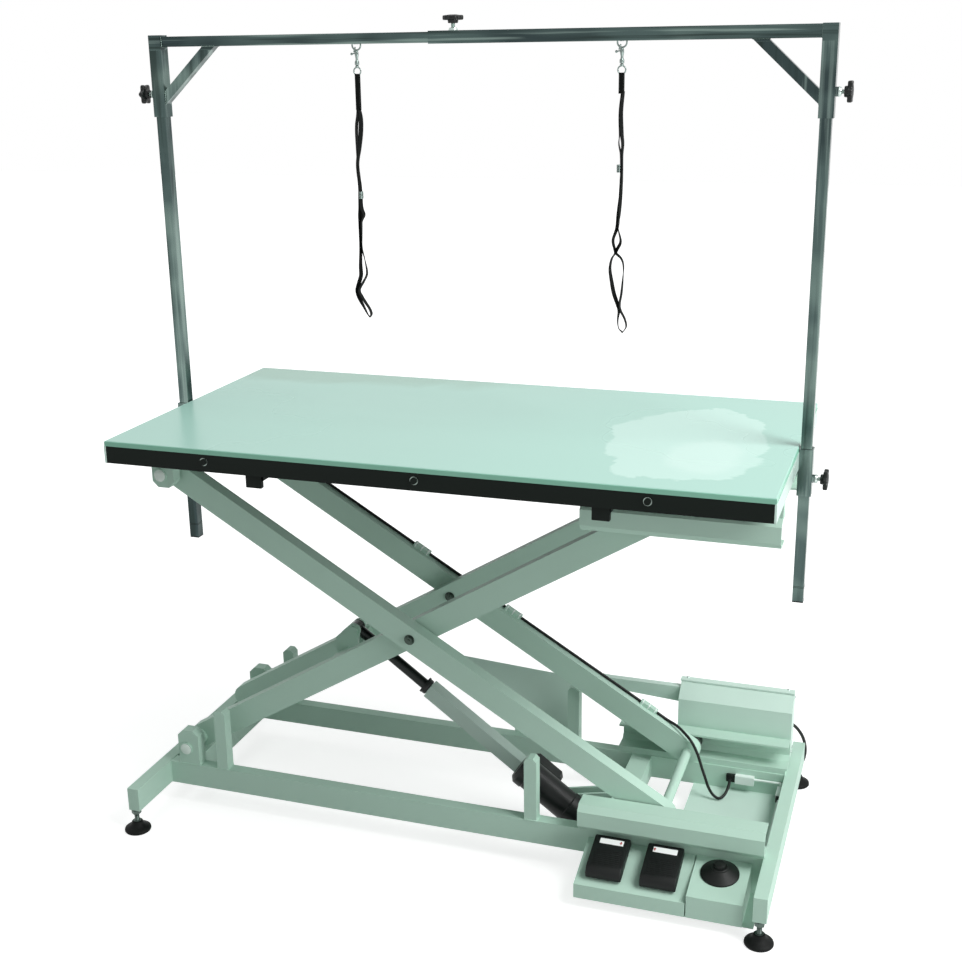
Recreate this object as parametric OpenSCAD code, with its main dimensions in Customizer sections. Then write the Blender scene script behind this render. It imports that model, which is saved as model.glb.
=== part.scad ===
// Dog grooming table: electric scissor lift, lit glass top, overhead gantry with two nooses.
// Frame: origin on the floor under the middle of the table top, X along the table,
// Y towards the back, Z up. The lift stands at the height of a table in use.

/* [Table top] */
// Length of the table top along X
table_len = 1250; // [1230:10:1290]
// Depth of the table top along Y
table_dep = 650; // [640:10:720]
// Thickness of the glass plate
glass_t = 10; // [6:1:14]
// Height of the black band round the edge
band_h = 33; // [28:1:40]
// Sheet thickness of the tray under the glass
tray_sheet = 2; // [1:0.5:3]
// Thickness of the lit panel under the glass
panel_t = 8; // [4:1:14]
// Distance between the outer two bolts in the long edges
bolt_span = 830; // [600:10:1000]
// Side of the square bars and bearers under the tray
bar_w = 32; // [25:1:36]
// Distance between the two cross bars
bar_span = 658; // [560:2:700]
// Length of the cross bars
bar_len = 600; // [500:10:620]

/* [Scissor] */
// Horizontal reach between an arm's pivot and its roller
reach = 1016; // [980:2:1040]
// Height between the lower and the upper pivots
rise = 611; // [560:1:640]
// Height of the lower pivots above the floor
low_z = 134; // [130:1:140]
// Distance from the middle of the table to the fixed pivots
pivot_back = 598; // [590:1:604]
// Height of an arm tube
arm_h = 50; // [40:1:52]
// Width of an arm tube
arm_w = 30; // [20:1:34]
// Wall of an arm tube
arm_wall = 2.5; // [1.5:0.5:4]
// Distance from the middle plane to the inner arms
inner_y = 85; // [80:1:92]
// Gap between an inner and an outer arm
arm_gap = 4; // [2:0.5:6]
// Diameter of the pivot pins and roller shafts
pin_d = 20; // [12:1:24]
// Diameter of the centre bolts
centre_d = 16; // [10:1:20]
// Diameter of the rollers
roller_d = 45; // [36:1:48]
// Width of the rollers
roller_w = 24; // [16:1:26]
// Running clearance of a pin in its bore, on the radius
fit = 0.05; // [0.02:0.01:0.1]

/* [Tracks] */
// Wall of the folded tracks
track_wall = 4; // [2:0.5:5]
// Clearance between roller and track flange
track_play = 0.5; // [0.3:0.1:1]
// Distance from the middle plane to the outside of a track
track_out = 200; // [196:1:204]
// Size of the bevel along a track's outer edges
track_bevel = 12; // [6:1:14]
// Left end of the tracks
track_x0 = 266; // [258:1:272]
// Right end of the tracks
track_x1 = 622; // [612:1:640]

/* [Base] */
// Height of the base tubes above the floor
base_z = 48; // [44:1:54]
// Height of the base tubes
rail_h = 50; // [44:1:54]
// Width of the base tubes
rail_w = 25; // [20:1:30]
// Wall of the base tubes
rail_wall = 2; // [1.5:0.5:4]
// Middle of the left cross tube
cross_left_x = -653; // [-657:1:-650]
// Middle of the right cross tube
cross_right_x = 631; // [629:1:640]
// Length of the two cross tubes that carry the feet
cross_len = 610; // [580:2:640]
// Distance of the feet from the middle plane
foot_y = 298; // [280:1:302]
// Diameter of a foot pad
foot_d = 54; // [40:1:60]
// Diameter of a foot's threaded stem
foot_stem_d = 10; // [8:1:12]
// Top of the stop posts above the floor
post_top_z = 232; // [220:1:250]
// Middle of the left stop posts
stop_left_x = -514.5; // [-530:0.5:-500]
// Middle of the right stop posts
stop_right_x = 164.5; // [150:0.5:180]

/* [Actuator] */
// Distance of the rod eye along the inner arm
eye_along = 416; // [405:1:425]
// Height of the rod eye above the inner arm's middle line
eye_up = 45; // [40:1:50]
// Place of the tail pivot along X
tail_x = 182; // [176:1:190]
// Height of the tail pivot
tail_z = 58; // [54:1:64]
// Distance of the actuator in front of the middle plane
act_front = 10; // [4:1:14]
// Diameter of the push rod
rod_d = 22; // [16:1:24]
// Side of the square actuator tube
act_tube = 30; // [27:1:34]
// Distance from the rod eye to the front of the tube
tube_start = 200; // [190:1:215]
// Diameter of the motor
motor_d = 66; // [56:1:68]
// Left side of the cross beam that holds the tail
beam_x = 297; // [290:1:300]
// Width of the cross beam that holds the tail
beam_w = 41; // [30:1:44]

/* [Foot switches] */
// Left side of the pedal panel
panel_x = 283; // [276:1:290]
// Width of the pedal panel
panel_w = 210; // [200:1:210]
// Left side of the switch box
switch_x = 495; // [494:1:500]
// Width of the switch box
switch_w = 103; // [90:1:106]
// Distance of the panel's front edge from the middle plane
panel_front = 289; // [284:1:296]
// Height of the panel's underside above the floor
panel_z = 21; // [18:1:26]
// Width of a pedal
pedal_w = 68; // [60:1:72]
// Left side of the down pedal
pedal_down_x = 302; // [298:1:306]
// Left side of the up pedal
pedal_up_x = 405; // [400:1:410]
// Diameter of the round light switch
dome_d = 72; // [60:1:76]
// Diameter of the light switch button
button_d = 21; // [16:1:24]

/* [Control box] */
// Left side of the control box
box_x = 383; // [375:1:390]
// Width of the control box
box_w = 239; // [220:1:245]
// Depth of the control box
box_d = 44; // [40:1:60]
// Height of the fold where the box's front leans back
box_fold_z = 215; // [205:1:222]
// Depth and height of the leaning part
box_bevel = 30; // [20:1:34]

/* [Gantry] */
// Side of the square posts
post_w = 20; // [18:1:22]
// Wall of the posts, sleeves and beam tubes
gantry_wall = 1.5; // [1:0.25:2]
// Bottom of the posts above the floor
post_z = 550; // [548:1:560]
// Length of the corner sleeves
sleeve_len = 153; // [140:1:165]
// Top of the corner sleeves above the floor
gantry_top = 1580; // [1570:1:1600]
// Clearance between a post and its sleeve, on each side
sleeve_play = 0.3; // [0.2:0.1:0.5]
// Side of the wide beam tube on the right
beam_side = 22.5; // [22:0.5:24]
// Left end of the wide beam tube
beam_split = -73; // [-100:1:-60]
// Distance from the braces' upper end to the sleeves
brace_run = 88; // [70:1:100]
// Distance between the two noose hooks and the middle: left hook
hook_left = -219; // [-240:1:-200]
// Place of the right hook
hook_right = 284; // [270:1:300]
// Diameter of the knobs
knob_d = 40; // [30:1:44]

/* [Hidden] */
$fn = 48;

paint = [0.66, 0.77, 0.72];
steel = [0.62, 0.66, 0.65];
black = [0.08, 0.10, 0.09];
white = [0.90, 0.92, 0.91];

// Scissor
arm_len = norm([reach, rise]);
rest_angle = atan2(rise, reach);
pivot_x = -pivot_back;
roller_x = pivot_x + reach;
up_z = low_z + rise;
outer_y = inner_y + arm_w + arm_gap;
side_gap = 1;
ear_in = outer_y + arm_w + side_gap;
pin_r = pin_d / 2;

// Base
rail_top = base_z + rail_h;
rail_x0 = cross_left_x + rail_w / 2;
rail_x1 = cross_right_x - rail_w / 2;
track_half = roller_d / 2 + track_play + track_wall;
track_in = ear_in + 2;
roller_y = ear_in + 10;
stem_play = 0.05;
ear_len = 48;
ear_x0 = pivot_x - 19;
ear_out = ear_in + rail_w;
pin_head = 4;
pin_head_r = 14;
plate_t = 2;

// Table stack, from the upper tracks to the glass
pad_t = 5;
bar_z = up_z + track_half + pad_t;
tray_z = bar_z + bar_w;
glass_z = tray_z + band_h;
top_z = glass_z + glass_t;
bearer_in = outer_y + arm_w + 11;
half_len = table_len / 2;
half_dep = table_dep / 2;
bolt_out = 4;

// Gantry
clamp_wall = 2.7;
clamp_side = post_w + 2 * (sleeve_play + clamp_wall);
post_x = half_len + clamp_side / 2;
clamp_drop = 4;
clamp_h = 88;
clamp_knob_z = top_z - 61;
sleeve_z = gantry_top - sleeve_len;
corner_knob_z = sleeve_z + 43;
beam_top = gantry_top - 1;
beam_z = beam_top - beam_side / 2;
beam_in_side = beam_side - 2 * gantry_wall - 2 * 0.25;
sleeve_in = post_x - clamp_side / 2;
knob_reach = 16;
knob_h = 13;
knob_beam_x = -28;
stem_r = 4;
thread_play = 0.05;
bow_r = 8.4;
bow_wire = 1.5;
bow_drop = 2.5;
hook_bar_r = 2.5;
hook_hole_r = 4.4;
bow_left_z = beam_z - beam_in_side / 2 - bow_drop;
bow_right_z = beam_z - beam_side / 2 - bow_drop;
snap_low = 35;
swivel_r = 1.6;

// Actuator
act_y = -act_front;
eye_w = 22;
lug_t = 6;
lug_play = 0.5;
act_pin_r = 6;
lug_near = act_y - eye_w / 2 - lug_play - lug_t;
lug_far = act_y + eye_w / 2 + lug_play;
cross_side = 36;
cross_back = 66;
eye_x = pivot_x + eye_along * cos(rest_angle) - eye_up * sin(rest_angle);
eye_z = low_z + eye_along * sin(rest_angle) + eye_up * cos(rest_angle);
act_len = norm([tail_x - eye_x, eye_z - tail_z]);
act_angle = atan2(eye_z - tail_z, tail_x - eye_x);
gear_start = 455;
gear_len = 76;
rod_end = tube_start + 90;
tube_bore = rod_d / 2 + fit;

// Pedal panel, a wedge that leans up to the near rail
panel_back = ear_out + 1;
panel_rise_front = 29;
panel_rise_back = 62;
panel_slope = atan2(panel_rise_back - panel_rise_front, panel_front - panel_back);
switch_rise_front = 45;
switch_slope = 9;
hinge_u = 100;
hinge_n = 12;
hinge_r = 2.5;
dome_x = switch_x + 50;
dome_u = 73;
button_play = 0.08;

// Light cable on the far outer arm, and its free stretch from the last clip to the far rail
cable_d = 6;
clip_starts = [462, 701, 1048];
clip_len = 40;
clip_h = 8;
clip_end = clip_starts[2] + clip_len;
cable_y = outer_y + 19;
cable_up = arm_h / 2 + cable_d / 2 + 0.1;
free_start = clip_end + 0.03;
LIGHT_ROUTE = [
    [pivot_x + free_start * cos(rest_angle) + cable_up * sin(rest_angle), cable_y,
        up_z - free_start * sin(rest_angle) + cable_up * cos(rest_angle)],
    [371.5, 137.2, 195.1], [394, 131, 187], [414, 121, 176], [430, 112, 163],
    [443, 107, 141], [453, 103, 115], [462, 99, 93], [470, 96, 74], [480, 94, 60],
    [492, 93, 54], [501, 101, 57], [506, 114, 64], [508, 128, 72], [507, 140, 77]];

// Mains lead, from the control box to the coil on the floor behind it
lead_d = 7;
LEAD_ROUTE = [
    [600, 244.4, 162], [600, 254, 162], [602.5, 265, 160.5], [608, 276, 156], [616, 286, 148],
    [624, 295, 137], [631, 303, 124], [637, 311, 109], [641, 319, 92], [643, 327, 73],
    [642, 335, 53], [638, 344, 34], [630, 353, 18.5], [619, 362, 8.5], [605, 370, 4.5],
    [589, 376, 4], [572, 380.5, 4], [554, 384, 4], [537, 386.5, 4]];
coil_x = 500;
coil_y = 334;
coil_r = 54;
coil_pitch = 8.4;
coil_turns = 3;
coil_floor = 4;
coil_end = 2 * coil_turns + 0.5;
coil_steps = 24;
coil_run = [for (k = [0:coil_steps * coil_end]) coil_point(k / coil_steps)];
coil_path = concat([coil_point(0) + [lead_d, 0, 0]], coil_run, [coil_point(coil_end) + [lead_d, 0, 0]]);
coil_gap = min([for (i = [0:len(coil_run) - 1]) for (j = [i + 12:1:len(coil_run) - 1])
    norm(coil_run[i] - coil_run[j])]) - lead_d;
echo(coil_gap = coil_gap);

// Straps of the nooses: sideways distance from the hook, and drop below the gantry's top
strap_t = 1.8;
strap_w = 10;
facing_left_drop = 140;
facing_right_drop = 112;
slider_left_drop = 304;
slider_right_drop = 248;
NOOSE_LEFT_A = [
    [-1, 136], [-2, 150], [-4, 170], [-4, 205], [-2, 230], [-3, 280], [-4, 318], [-7, 335],
    [-5, 352], [-6, 390], [-12, 430], [-17, 468], [-20, 488], [-13, 503], [-5, 518], [2, 532]];
NOOSE_LEFT_B = [
    [1, 136], [6, 155], [9, 180], [7, 205], [1, 230], [-1, 280], [-2, 318], [3, 335],
    [-3, 352], [-4, 390], [1, 418], [5, 444], [-4, 468], [-10, 488], [-5, 503], [5, 518],
    [7, 528], [2, 532]];
NOOSE_RIGHT_A = [
    [0, 108], [-3, 143], [-4, 170], [-4, 192], [0, 212], [0, 240], [-1, 280], [-4, 323],
    [-7, 346], [-13, 368], [-7, 384], [-6, 396], [-13, 415], [-18, 441], [-13, 470],
    [-4, 489], [3, 502], [4, 518], [8, 535]];
NOOSE_RIGHT_B = [
    [3, 108], [-1, 143], [1, 170], [1, 192], [2, 212], [2, 240], [1, 280], [-2, 323],
    [-1, 346], [3, 368], [-3, 384], [-4, 396], [6, 415], [10, 441], [6, 470], [-2, 489],
    [1, 502], [11, 520], [11, 530], [8, 535]];

// Points on a smooth curve through the route p, steps to each stretch
function smooth_at(p, i, t) =
    let (a = p[max(i - 1, 0)], b = p[i], c = p[i + 1], d = p[min(i + 2, len(p) - 1)])
    0.5 * (2 * b + (c - a) * t + (2 * a - 5 * b + 4 * c - d) * t * t
        + (3 * b - a - 3 * c + d) * t * t * t);
function smooth(p, steps) = concat(
    [for (i = [0:len(p) - 2]) for (k = [0:steps - 1]) smooth_at(p, i, k / steps)], [p[len(p) - 1]]);
function unit(v) = v / norm(v);
function heading(p, i) = unit(p[min(i + 1, len(p) - 1)] - p[max(i - 1, 0)]);

// Round tube swept along p, its rings turned to a fixed reference direction
module swept_tube(p, r, sides, ref) {
    n = len(p);
    points = [for (i = [0:n - 1])
        let (t = heading(p, i), u = unit(cross(t, ref)), v = cross(u, t))
        for (k = [0:sides - 1]) p[i] + r * (cos(360 * k / sides) * u + sin(360 * k / sides) * v)];
    side_faces = [for (i = [0:n - 2]) for (k = [0:sides - 1]) let (m = (k + 1) % sides)
        for (f = [[i * sides + k, (i + 1) * sides + k, (i + 1) * sides + m],
            [i * sides + k, (i + 1) * sides + m, i * sides + m]]) f];
    start_cap = [for (k = [1:sides - 2]) [0, k, k + 1]];
    end_cap = [for (k = [1:sides - 2]) [(n - 1) * sides, (n - 1) * sides + k + 1, (n - 1) * sides + k]];
    polyhedron(points, concat(side_faces, start_cap, end_cap));
}

// Block between two corners
module block(a, b) {
    translate(a) cube(b - a);
}

// Cylinders along the three axes, from one end to the other
module pin_y(x, z, y0, y1, r) {
    translate([x, y1, z]) rotate([90, 0, 0]) cylinder(h = y1 - y0, r = r);
}
module pin_x(y, z, x0, x1, r) {
    translate([x0, y, z]) rotate([0, 90, 0]) cylinder(h = x1 - x0, r = r);
}
module pin_z(x, y, z0, z1, r) {
    translate([x, y, z0]) cylinder(h = z1 - z0, r = r);
}

// Closed square tube between two corners
module box_tube(a, b, wall) {
    difference() {
        block(a, b);
        block(a + [wall, wall, wall], b - [wall, wall, wall]);
    }
}

// A copy on each side of the middle plane
module both_sides() {
    children();
    mirror([0, 1, 0]) children();
}

// Base frame

module base_cross_tubes() {
    color(paint)
    for (x = [cross_left_x, cross_right_x])
        difference() {
            box_tube([x - rail_w / 2, -cross_len / 2, base_z],
                [x + rail_w / 2, cross_len / 2, rail_top], rail_wall);
            for (y = [-foot_y, foot_y])
                pin_z(x, y, base_z - 1, base_z + rail_wall + 1, foot_stem_d / 2 + stem_play);
        }
}

module base_rails() {
    color(paint)
    both_sides()
        box_tube([rail_x0, -ear_out, base_z], [rail_x1, -ear_in, rail_top], rail_wall);
}

// Lug that holds the actuator's tail, seen from the front
module tail_lug(y) {
    lug_r = 16;
    difference() {
        translate([0, y + lug_t, 0]) rotate([90, 0, 0]) linear_extrude(lug_t)
            union() {
                translate([tail_x, tail_z]) circle(lug_r);
                polygon([[tail_x, tail_z - lug_r], [beam_x, base_z + 4], [beam_x, rail_top - 2],
                    [beam_x - 18, rail_top - 2], [tail_x, tail_z + lug_r]]);
            }
        pin_y(tail_x, tail_z, y - 1, y + lug_t + 1, act_pin_r + fit);
    }
}

module base_inner_tubes() {
    inner_x = rail_x0 + 27;
    color(paint) {
        box_tube([inner_x, -ear_in, base_z], [inner_x + rail_w, ear_in, rail_top], rail_wall);
        box_tube([beam_x, -ear_in, base_z], [beam_x + beam_w, ear_in, rail_top], rail_wall);
        tail_lug(lug_near);
        tail_lug(lug_far);
    }
    head_near = 3;
    head_far = 7;
    head_r = act_pin_r + 4;
    color(steel) {
        pin_y(tail_x, tail_z, lug_near - head_near, lug_near, head_r);
        pin_y(tail_x, tail_z, lug_near - head_near, lug_near + lug_t, act_pin_r);
        pin_y(tail_x, tail_z, lug_far + lug_t, lug_far + lug_t + head_far, head_r);
        pin_y(tail_x, tail_z, lug_far, lug_far + lug_t + head_far, act_pin_r);
    }
}

// Stop post with a sloping top
module stop_post(x) {
    slope = 7;
    translate([0, -ear_in, 0]) rotate([90, 0, 0]) linear_extrude(rail_w)
        polygon([[x - rail_w / 2, rail_top], [x + rail_w / 2, rail_top],
            [x + rail_w / 2, post_top_z - slope], [x + rail_w / 2 - slope, post_top_z],
            [x - rail_w / 2 + slope, post_top_z], [x - rail_w / 2, post_top_z - slope]]);
}

// Outline of a pivot ear, from its foot to its bevelled top
module ear_outline(foot, top) {
    bevel = 12;
    end = top > foot ? -bevel : bevel;
    polygon([[ear_x0, foot], [ear_x0 + ear_len, foot], [ear_x0 + ear_len, top + end],
        [ear_x0 + ear_len - bevel, top], [ear_x0 + bevel, top], [ear_x0, top + end]]);
}

module rail_posts() {
    ear_top = low_z + 42;
    color(paint)
    both_sides() {
        stop_post(stop_left_x);
        stop_post(stop_right_x);
        difference() {
            translate([0, -ear_in, 0]) rotate([90, 0, 0]) linear_extrude(rail_w)
                ear_outline(rail_top, ear_top);
            pin_y(pivot_x, low_z, -ear_out - 1, -ear_in + 1, pin_r + fit);
        }
    }
}

// Headed pivot pin on the near side
module pivot_pin(z, ear_face, tip) {
    pin_y(pivot_x, z, -ear_face - pin_head, -ear_face, pin_head_r);
    pin_y(pivot_x, z, -ear_face - pin_head, -tip, pin_r);
}

module lower_pins() {
    color(paint)
    both_sides() pivot_pin(low_z, ear_out, inner_y + 0.5);
}

// Folded track that opens towards the middle, its middle line at height z
module track(z) {
    in_bevel = track_bevel - track_wall * (2 - sqrt(2));
    h = track_half;
    w = track_half - track_wall;
    translate([track_x0, 0, z]) rotate([90, 0, 90]) linear_extrude(track_x1 - track_x0)
        polygon([[-track_in, h], [-track_out + track_bevel, h], [-track_out, h - track_bevel],
            [-track_out, -h + track_bevel], [-track_out + track_bevel, -h], [-track_in, -h],
            [-track_in, -w], [-track_out + track_wall + in_bevel, -w],
            [-track_out + track_wall, -w + in_bevel], [-track_out + track_wall, w - in_bevel],
            [-track_out + track_wall + in_bevel, w], [-track_in, w]]);
}

module tracks_low() {
    color(paint)
    both_sides() {
        track(low_z);
        block([track_x0, -ear_out, rail_top], [rail_x1, -ear_in - 2, low_z - track_half]);
    }
}

// Floor plate between the tracks, and the folded plate that leans out behind the far rail
module base_plates() {
    floor_x0 = 430;
    plate_left = -125;
    plate_right = stop_right_x - rail_w / 2 - 1;
    notch_x = 24;
    kink_x = 83;
    top_left = 239;
    top_right = 224;
    lean = 20;
    fold_z = rail_top + 2;
    foot_z = base_z + 8;
    rise_h = 142;
    out = rise_h * tan(lean);
    slant = plate_t / cos(lean);
    color(paint) {
        block([floor_x0, -ear_in, base_z - plate_t + 1], [rail_x1, ear_in, base_z + 1]);
        intersection() {
            translate([plate_left, 0, 0]) rotate([90, 0, 90]) linear_extrude(plate_right - plate_left)
                polygon([[ear_out, foot_z], [ear_out, fold_z], [ear_out + out, fold_z + rise_h],
                    [ear_out + out + slant, fold_z + rise_h],
                    [ear_out + plate_t, fold_z + (plate_t - slant) / tan(lean)],
                    [ear_out + plate_t, foot_z]]);
            translate([0, 2 * ear_out, 0]) rotate([90, 0, 0]) linear_extrude(2 * ear_out)
                polygon([[notch_x, foot_z - 1], [plate_right + 1, foot_z - 1], [plate_right + 1, top_right],
                    [kink_x, top_right + 4], [plate_left, top_left], [notch_x, fold_z + 2]]);
        }
    }
}

// Tapered duct from the control box to the left
module cable_duct() {
    duct_y0 = track_out + 22;
    duct_d = 16;
    duct_len = 213;
    duct_h = 34;
    tip_len = 38;
    top = box_fold_z + 18;
    tip = box_x - duct_len;
    color(paint)
    translate([0, duct_y0 + duct_d, 0]) rotate([90, 0, 0]) linear_extrude(duct_d)
        polygon([[box_x, top], [box_x, top - duct_h], [tip + duct_len * 0.43, top - duct_h * 0.76],
            [tip + duct_len * 0.14, top - duct_h * 0.5], [tip + duct_len * 0.03, top - duct_h * 0.2],
            [tip, top + duct_h * 0.09], [tip + duct_len * 0.26, top]]);
    color(black)
    translate([0, duct_y0 + duct_d - 2, 0]) rotate([90, 0, 0]) linear_extrude(duct_d - 4)
        polygon([[tip, top + duct_h * 0.09], [tip + duct_len * 0.03, top - duct_h * 0.2],
            [tip - tip_len * 0.26, top - duct_h * 0.26], [tip - tip_len, top + duct_h * 0.15],
            [tip - tip_len / 2, top + duct_h * 0.2]]);
}

// Control box on the back of the far track: housing, then its lid
module control_box() {
    box_y = track_out + 0.3;
    box_z = base_z + 60;
    seam_z = box_fold_z + box_bevel;
    color(paint)
    difference() {
        translate([box_x, 0, 0]) rotate([90, 0, 90]) linear_extrude(box_w)
            polygon([[box_y, box_z], [box_y + box_d, box_z], [box_y + box_d, seam_z],
                [box_y + box_bevel, seam_z], [box_y, box_fold_z]]);
        translate([box_x + 2, 0, 0]) rotate([90, 0, 90]) linear_extrude(box_w - 4)
            polygon([[box_y + 2, box_z + 2], [box_y + box_d - 2, box_z + 2],
                [box_y + box_d - 2, seam_z + 1], [box_y + box_bevel + 1, seam_z + 1],
                [box_y + 2, box_fold_z - 1]]);
    }
}

module control_lid() {
    box_y = track_out + 0.3;
    seam_z = box_fold_z + box_bevel;
    lip = 3;
    color(paint)
    block([box_x - 2, box_y + box_bevel - 2, seam_z], [box_x + box_w, box_y + box_d + 2, seam_z + lip]);
}

// Solid wedge under a sloping top, drawn in by the inset on every side
module wedge_block(x, w, front, slope, inset) {
    depth = panel_front - panel_back;
    low = panel_z + front + inset * tan(slope) - inset / cos(slope);
    high = panel_z + front + (depth - inset) * tan(slope) - inset / cos(slope);
    translate([x + inset, 0, 0]) rotate([90, 0, 90]) linear_extrude(w - 2 * inset)
        polygon([[-panel_front + inset, panel_z + inset], [-panel_back - inset, panel_z + inset],
            [-panel_back - inset, high], [-panel_front + inset, low]]);
}

// Pedal panel and switch box, two folded wedges on one thin plate
module wedge(x, w, front, slope) {
    difference() {
        wedge_block(x, w, front, slope, 0);
        wedge_block(x, w, front, slope, plate_t);
    }
}

module pedal_panel() {
    color(paint) {
        wedge(panel_x, panel_w, panel_rise_front, panel_slope);
        wedge(switch_x, switch_w, switch_rise_front, switch_slope);
        block([panel_x, -panel_front + 4, panel_z - plate_t], [rail_x1, -ear_in, panel_z]);
        block([panel_x, -ear_out, panel_z], [rail_x1, -ear_in, base_z]);
    }
}

// Places its children on a wedge: x along the front edge, y up the slope, z off the surface
module on_wedge(x, front, slope) {
    translate([x, -panel_front, panel_z + front]) rotate([slope, 0, 0]) children();
}

// Switch housing under a pedal, with the hinge pin
module pedal_housing() {
    inset = 6;
    front_u = 32;
    block([inset, front_u, 0], [pedal_w - inset, hinge_u + 4, hinge_n]);
    pin_x(hinge_u, hinge_n, 0.4, pedal_w - 0.4, hinge_r);
}

// Round switch housing with a bore for its button
module switch_dome() {
    rotate_extrude()
        polygon([[button_d / 2 + button_play, 0], [dome_d / 2, 0], [dome_d / 2, 3], [button_d / 2 + 5, 15],
            [button_d / 2 + 3, 18], [button_d / 2 + button_play, 18]]);
}

module switch_bodies() {
    color(black) {
        on_wedge(pedal_down_x, panel_rise_front, panel_slope) pedal_housing();
        on_wedge(pedal_up_x, panel_rise_front, panel_slope) pedal_housing();
        on_wedge(dome_x, switch_rise_front, switch_slope) translate([0, dome_u, 0]) switch_dome();
    }
}

// Pedal cap, hollow over its housing and hinged at the back
module pedal_cap() {
    wall = 3;
    front_u = 16;
    back_u = 110;
    low_n = 6.5;
    high_n = 25;
    nose_n = 15;
    deep_u = 30;
    difference() {
        rotate([90, 0, 90]) linear_extrude(pedal_w)
            polygon([[front_u, low_n], [front_u, nose_n], [front_u + 11, high_n], [back_u - 5, high_n],
                [back_u, high_n - 5], [back_u, low_n]]);
        block([wall, front_u + wall, 0], [pedal_w - wall, back_u - wall, nose_n - 0.3]);
        block([wall, deep_u, 0], [pedal_w - wall, back_u - wall, high_n - wall]);
        pin_x(hinge_u, hinge_n, -1, pedal_w + 1, hinge_r + fit);
    }
}

module pedal_down() {
    color(black) on_wedge(pedal_down_x, panel_rise_front, panel_slope) pedal_cap();
}

module pedal_up() {
    color(black) on_wedge(pedal_up_x, panel_rise_front, panel_slope) pedal_cap();
}

module switch_button() {
    color(black)
    on_wedge(dome_x, switch_rise_front, switch_slope)
        translate([0, dome_u, 5])
            rotate_extrude()
                polygon([[0, 0], [button_d / 2, 0], [button_d / 2, 18], [button_d / 2 - 2, 20], [0, 20]]);
}

// Cable connectors clipped to the far rail and to the right cross tube, with the fixed lead
module light_connectors() {
    face_y = ear_in;
    face_x = rail_x1;
    elbow_x = 500;
    elbow_len = 18;
    shell_x = elbow_x + elbow_len;
    shell_len = 39;
    shell_h = 18;
    low = base_z + 20;
    end_y = 98;
    end_len = 38;
    end_low = base_z + 14;
    end_h = 16;
    wire_r = 2.5;
    wire_z = base_z + 32;
    color(black) {
        block([elbow_x, face_y - 9, low + 2], [shell_x, face_y, low + shell_h - 2]);
        block([face_x - 10, end_y - 6, end_low + 4], [face_x, end_y, end_low + end_h - 2]);
    }
    color(white) {
        block([shell_x, face_y - 12, low], [shell_x + shell_len, face_y, low + shell_h]);
        block([face_x - 12, end_y, end_low], [face_x, end_y + end_len, end_low + end_h]);
        pin_x(face_y - 5, wire_z, shell_x + shell_len, face_x - 6, wire_r);
        pin_y(face_x - 6, wire_z, end_y + end_len, face_y - 5, wire_r);
        pin_z(face_x - 6, end_y + end_len + wire_r, end_low + 8, wire_z, wire_r);
        pin_y(face_x - 5, end_low + 8, -ear_in, end_y - 6, wire_r);
    }
}

module light_cable() {
    color(black) swept_tube(smooth(LIGHT_ROUTE, 2), cable_d / 2, 8, [1, 0, 1]);
}

// Feet: pad, stem and lock nut
module foot(x, y) {
    pad_h = 22;
    nut_h = 8.8;
    color(black)
    translate([x, y, 0])
        rotate_extrude()
            polygon([[0, 0], [foot_d / 2, 0], [foot_d / 2, 5], [foot_d / 2 - 4, 9], [12, 16],
                [10, pad_h], [0, pad_h]]);
    color(steel) {
        pin_z(x, y, pad_h, base_z + pad_h, foot_stem_d / 2);
        translate([x, y, base_z - nut_h - 0.2]) cylinder(h = nut_h, r = foot_stem_d, $fn = 6);
    }
}
module foot_front_left() {
    foot(cross_left_x, -foot_y);
}
module foot_back_left() {
    foot(cross_left_x, foot_y);
}
module foot_front_right() {
    foot(cross_right_x, -foot_y);
}
module foot_back_right() {
    foot(cross_right_x, foot_y);
}

// Mains cord: lead, coil on the floor and plug
// The lead ends face to face with the coil's straight start
module mains_lead() {
    meet = coil_point(0) + [lead_d, 0, 0];
    route = concat(LEAD_ROUTE, [meet + [2 * lead_d, 0, 0], meet]);
    color(black) swept_tube(smooth(route, 2), lead_d / 2, 8, [1, -1, 1]);
}

// Radius and height of the coil after t turns: in over the lower layer, then out over the upper
function coil_radius(t) =
    t < coil_turns ? coil_r - coil_pitch * t
    : t < coil_turns + 0.5 ? coil_r - coil_pitch * coil_turns
    : coil_r - coil_pitch * (2 * coil_turns + 0.5 - t);
function coil_height(t) = coil_floor
    + coil_pitch * min(1, max(0, (t - coil_turns) / 0.5));
function coil_point(t) = [
    coil_x + coil_radius(t) * cos(360 * t + 90), coil_y + coil_radius(t) * sin(360 * t + 90), coil_height(t)];

module mains_coil() {
    color(black) swept_tube(coil_path, lead_d / 2, 6, [0, 0, 1]);
}

module mains_plug() {
    start = coil_point(coil_end) + [lead_d, 0, 0];
    color(black)
    translate(start) rotate([0, 90, 0])
        rotate_extrude()
            polygon([[0, 0], [5, 0], [6, 16], [12, 22], [12, 46], [0, 46]]);
    color(steel)
    for (side = [-9.5, 9.5])
        pin_x(start[1] + side, start[2], start[0] + 46, start[0] + 64, 2.2);
}

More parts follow.
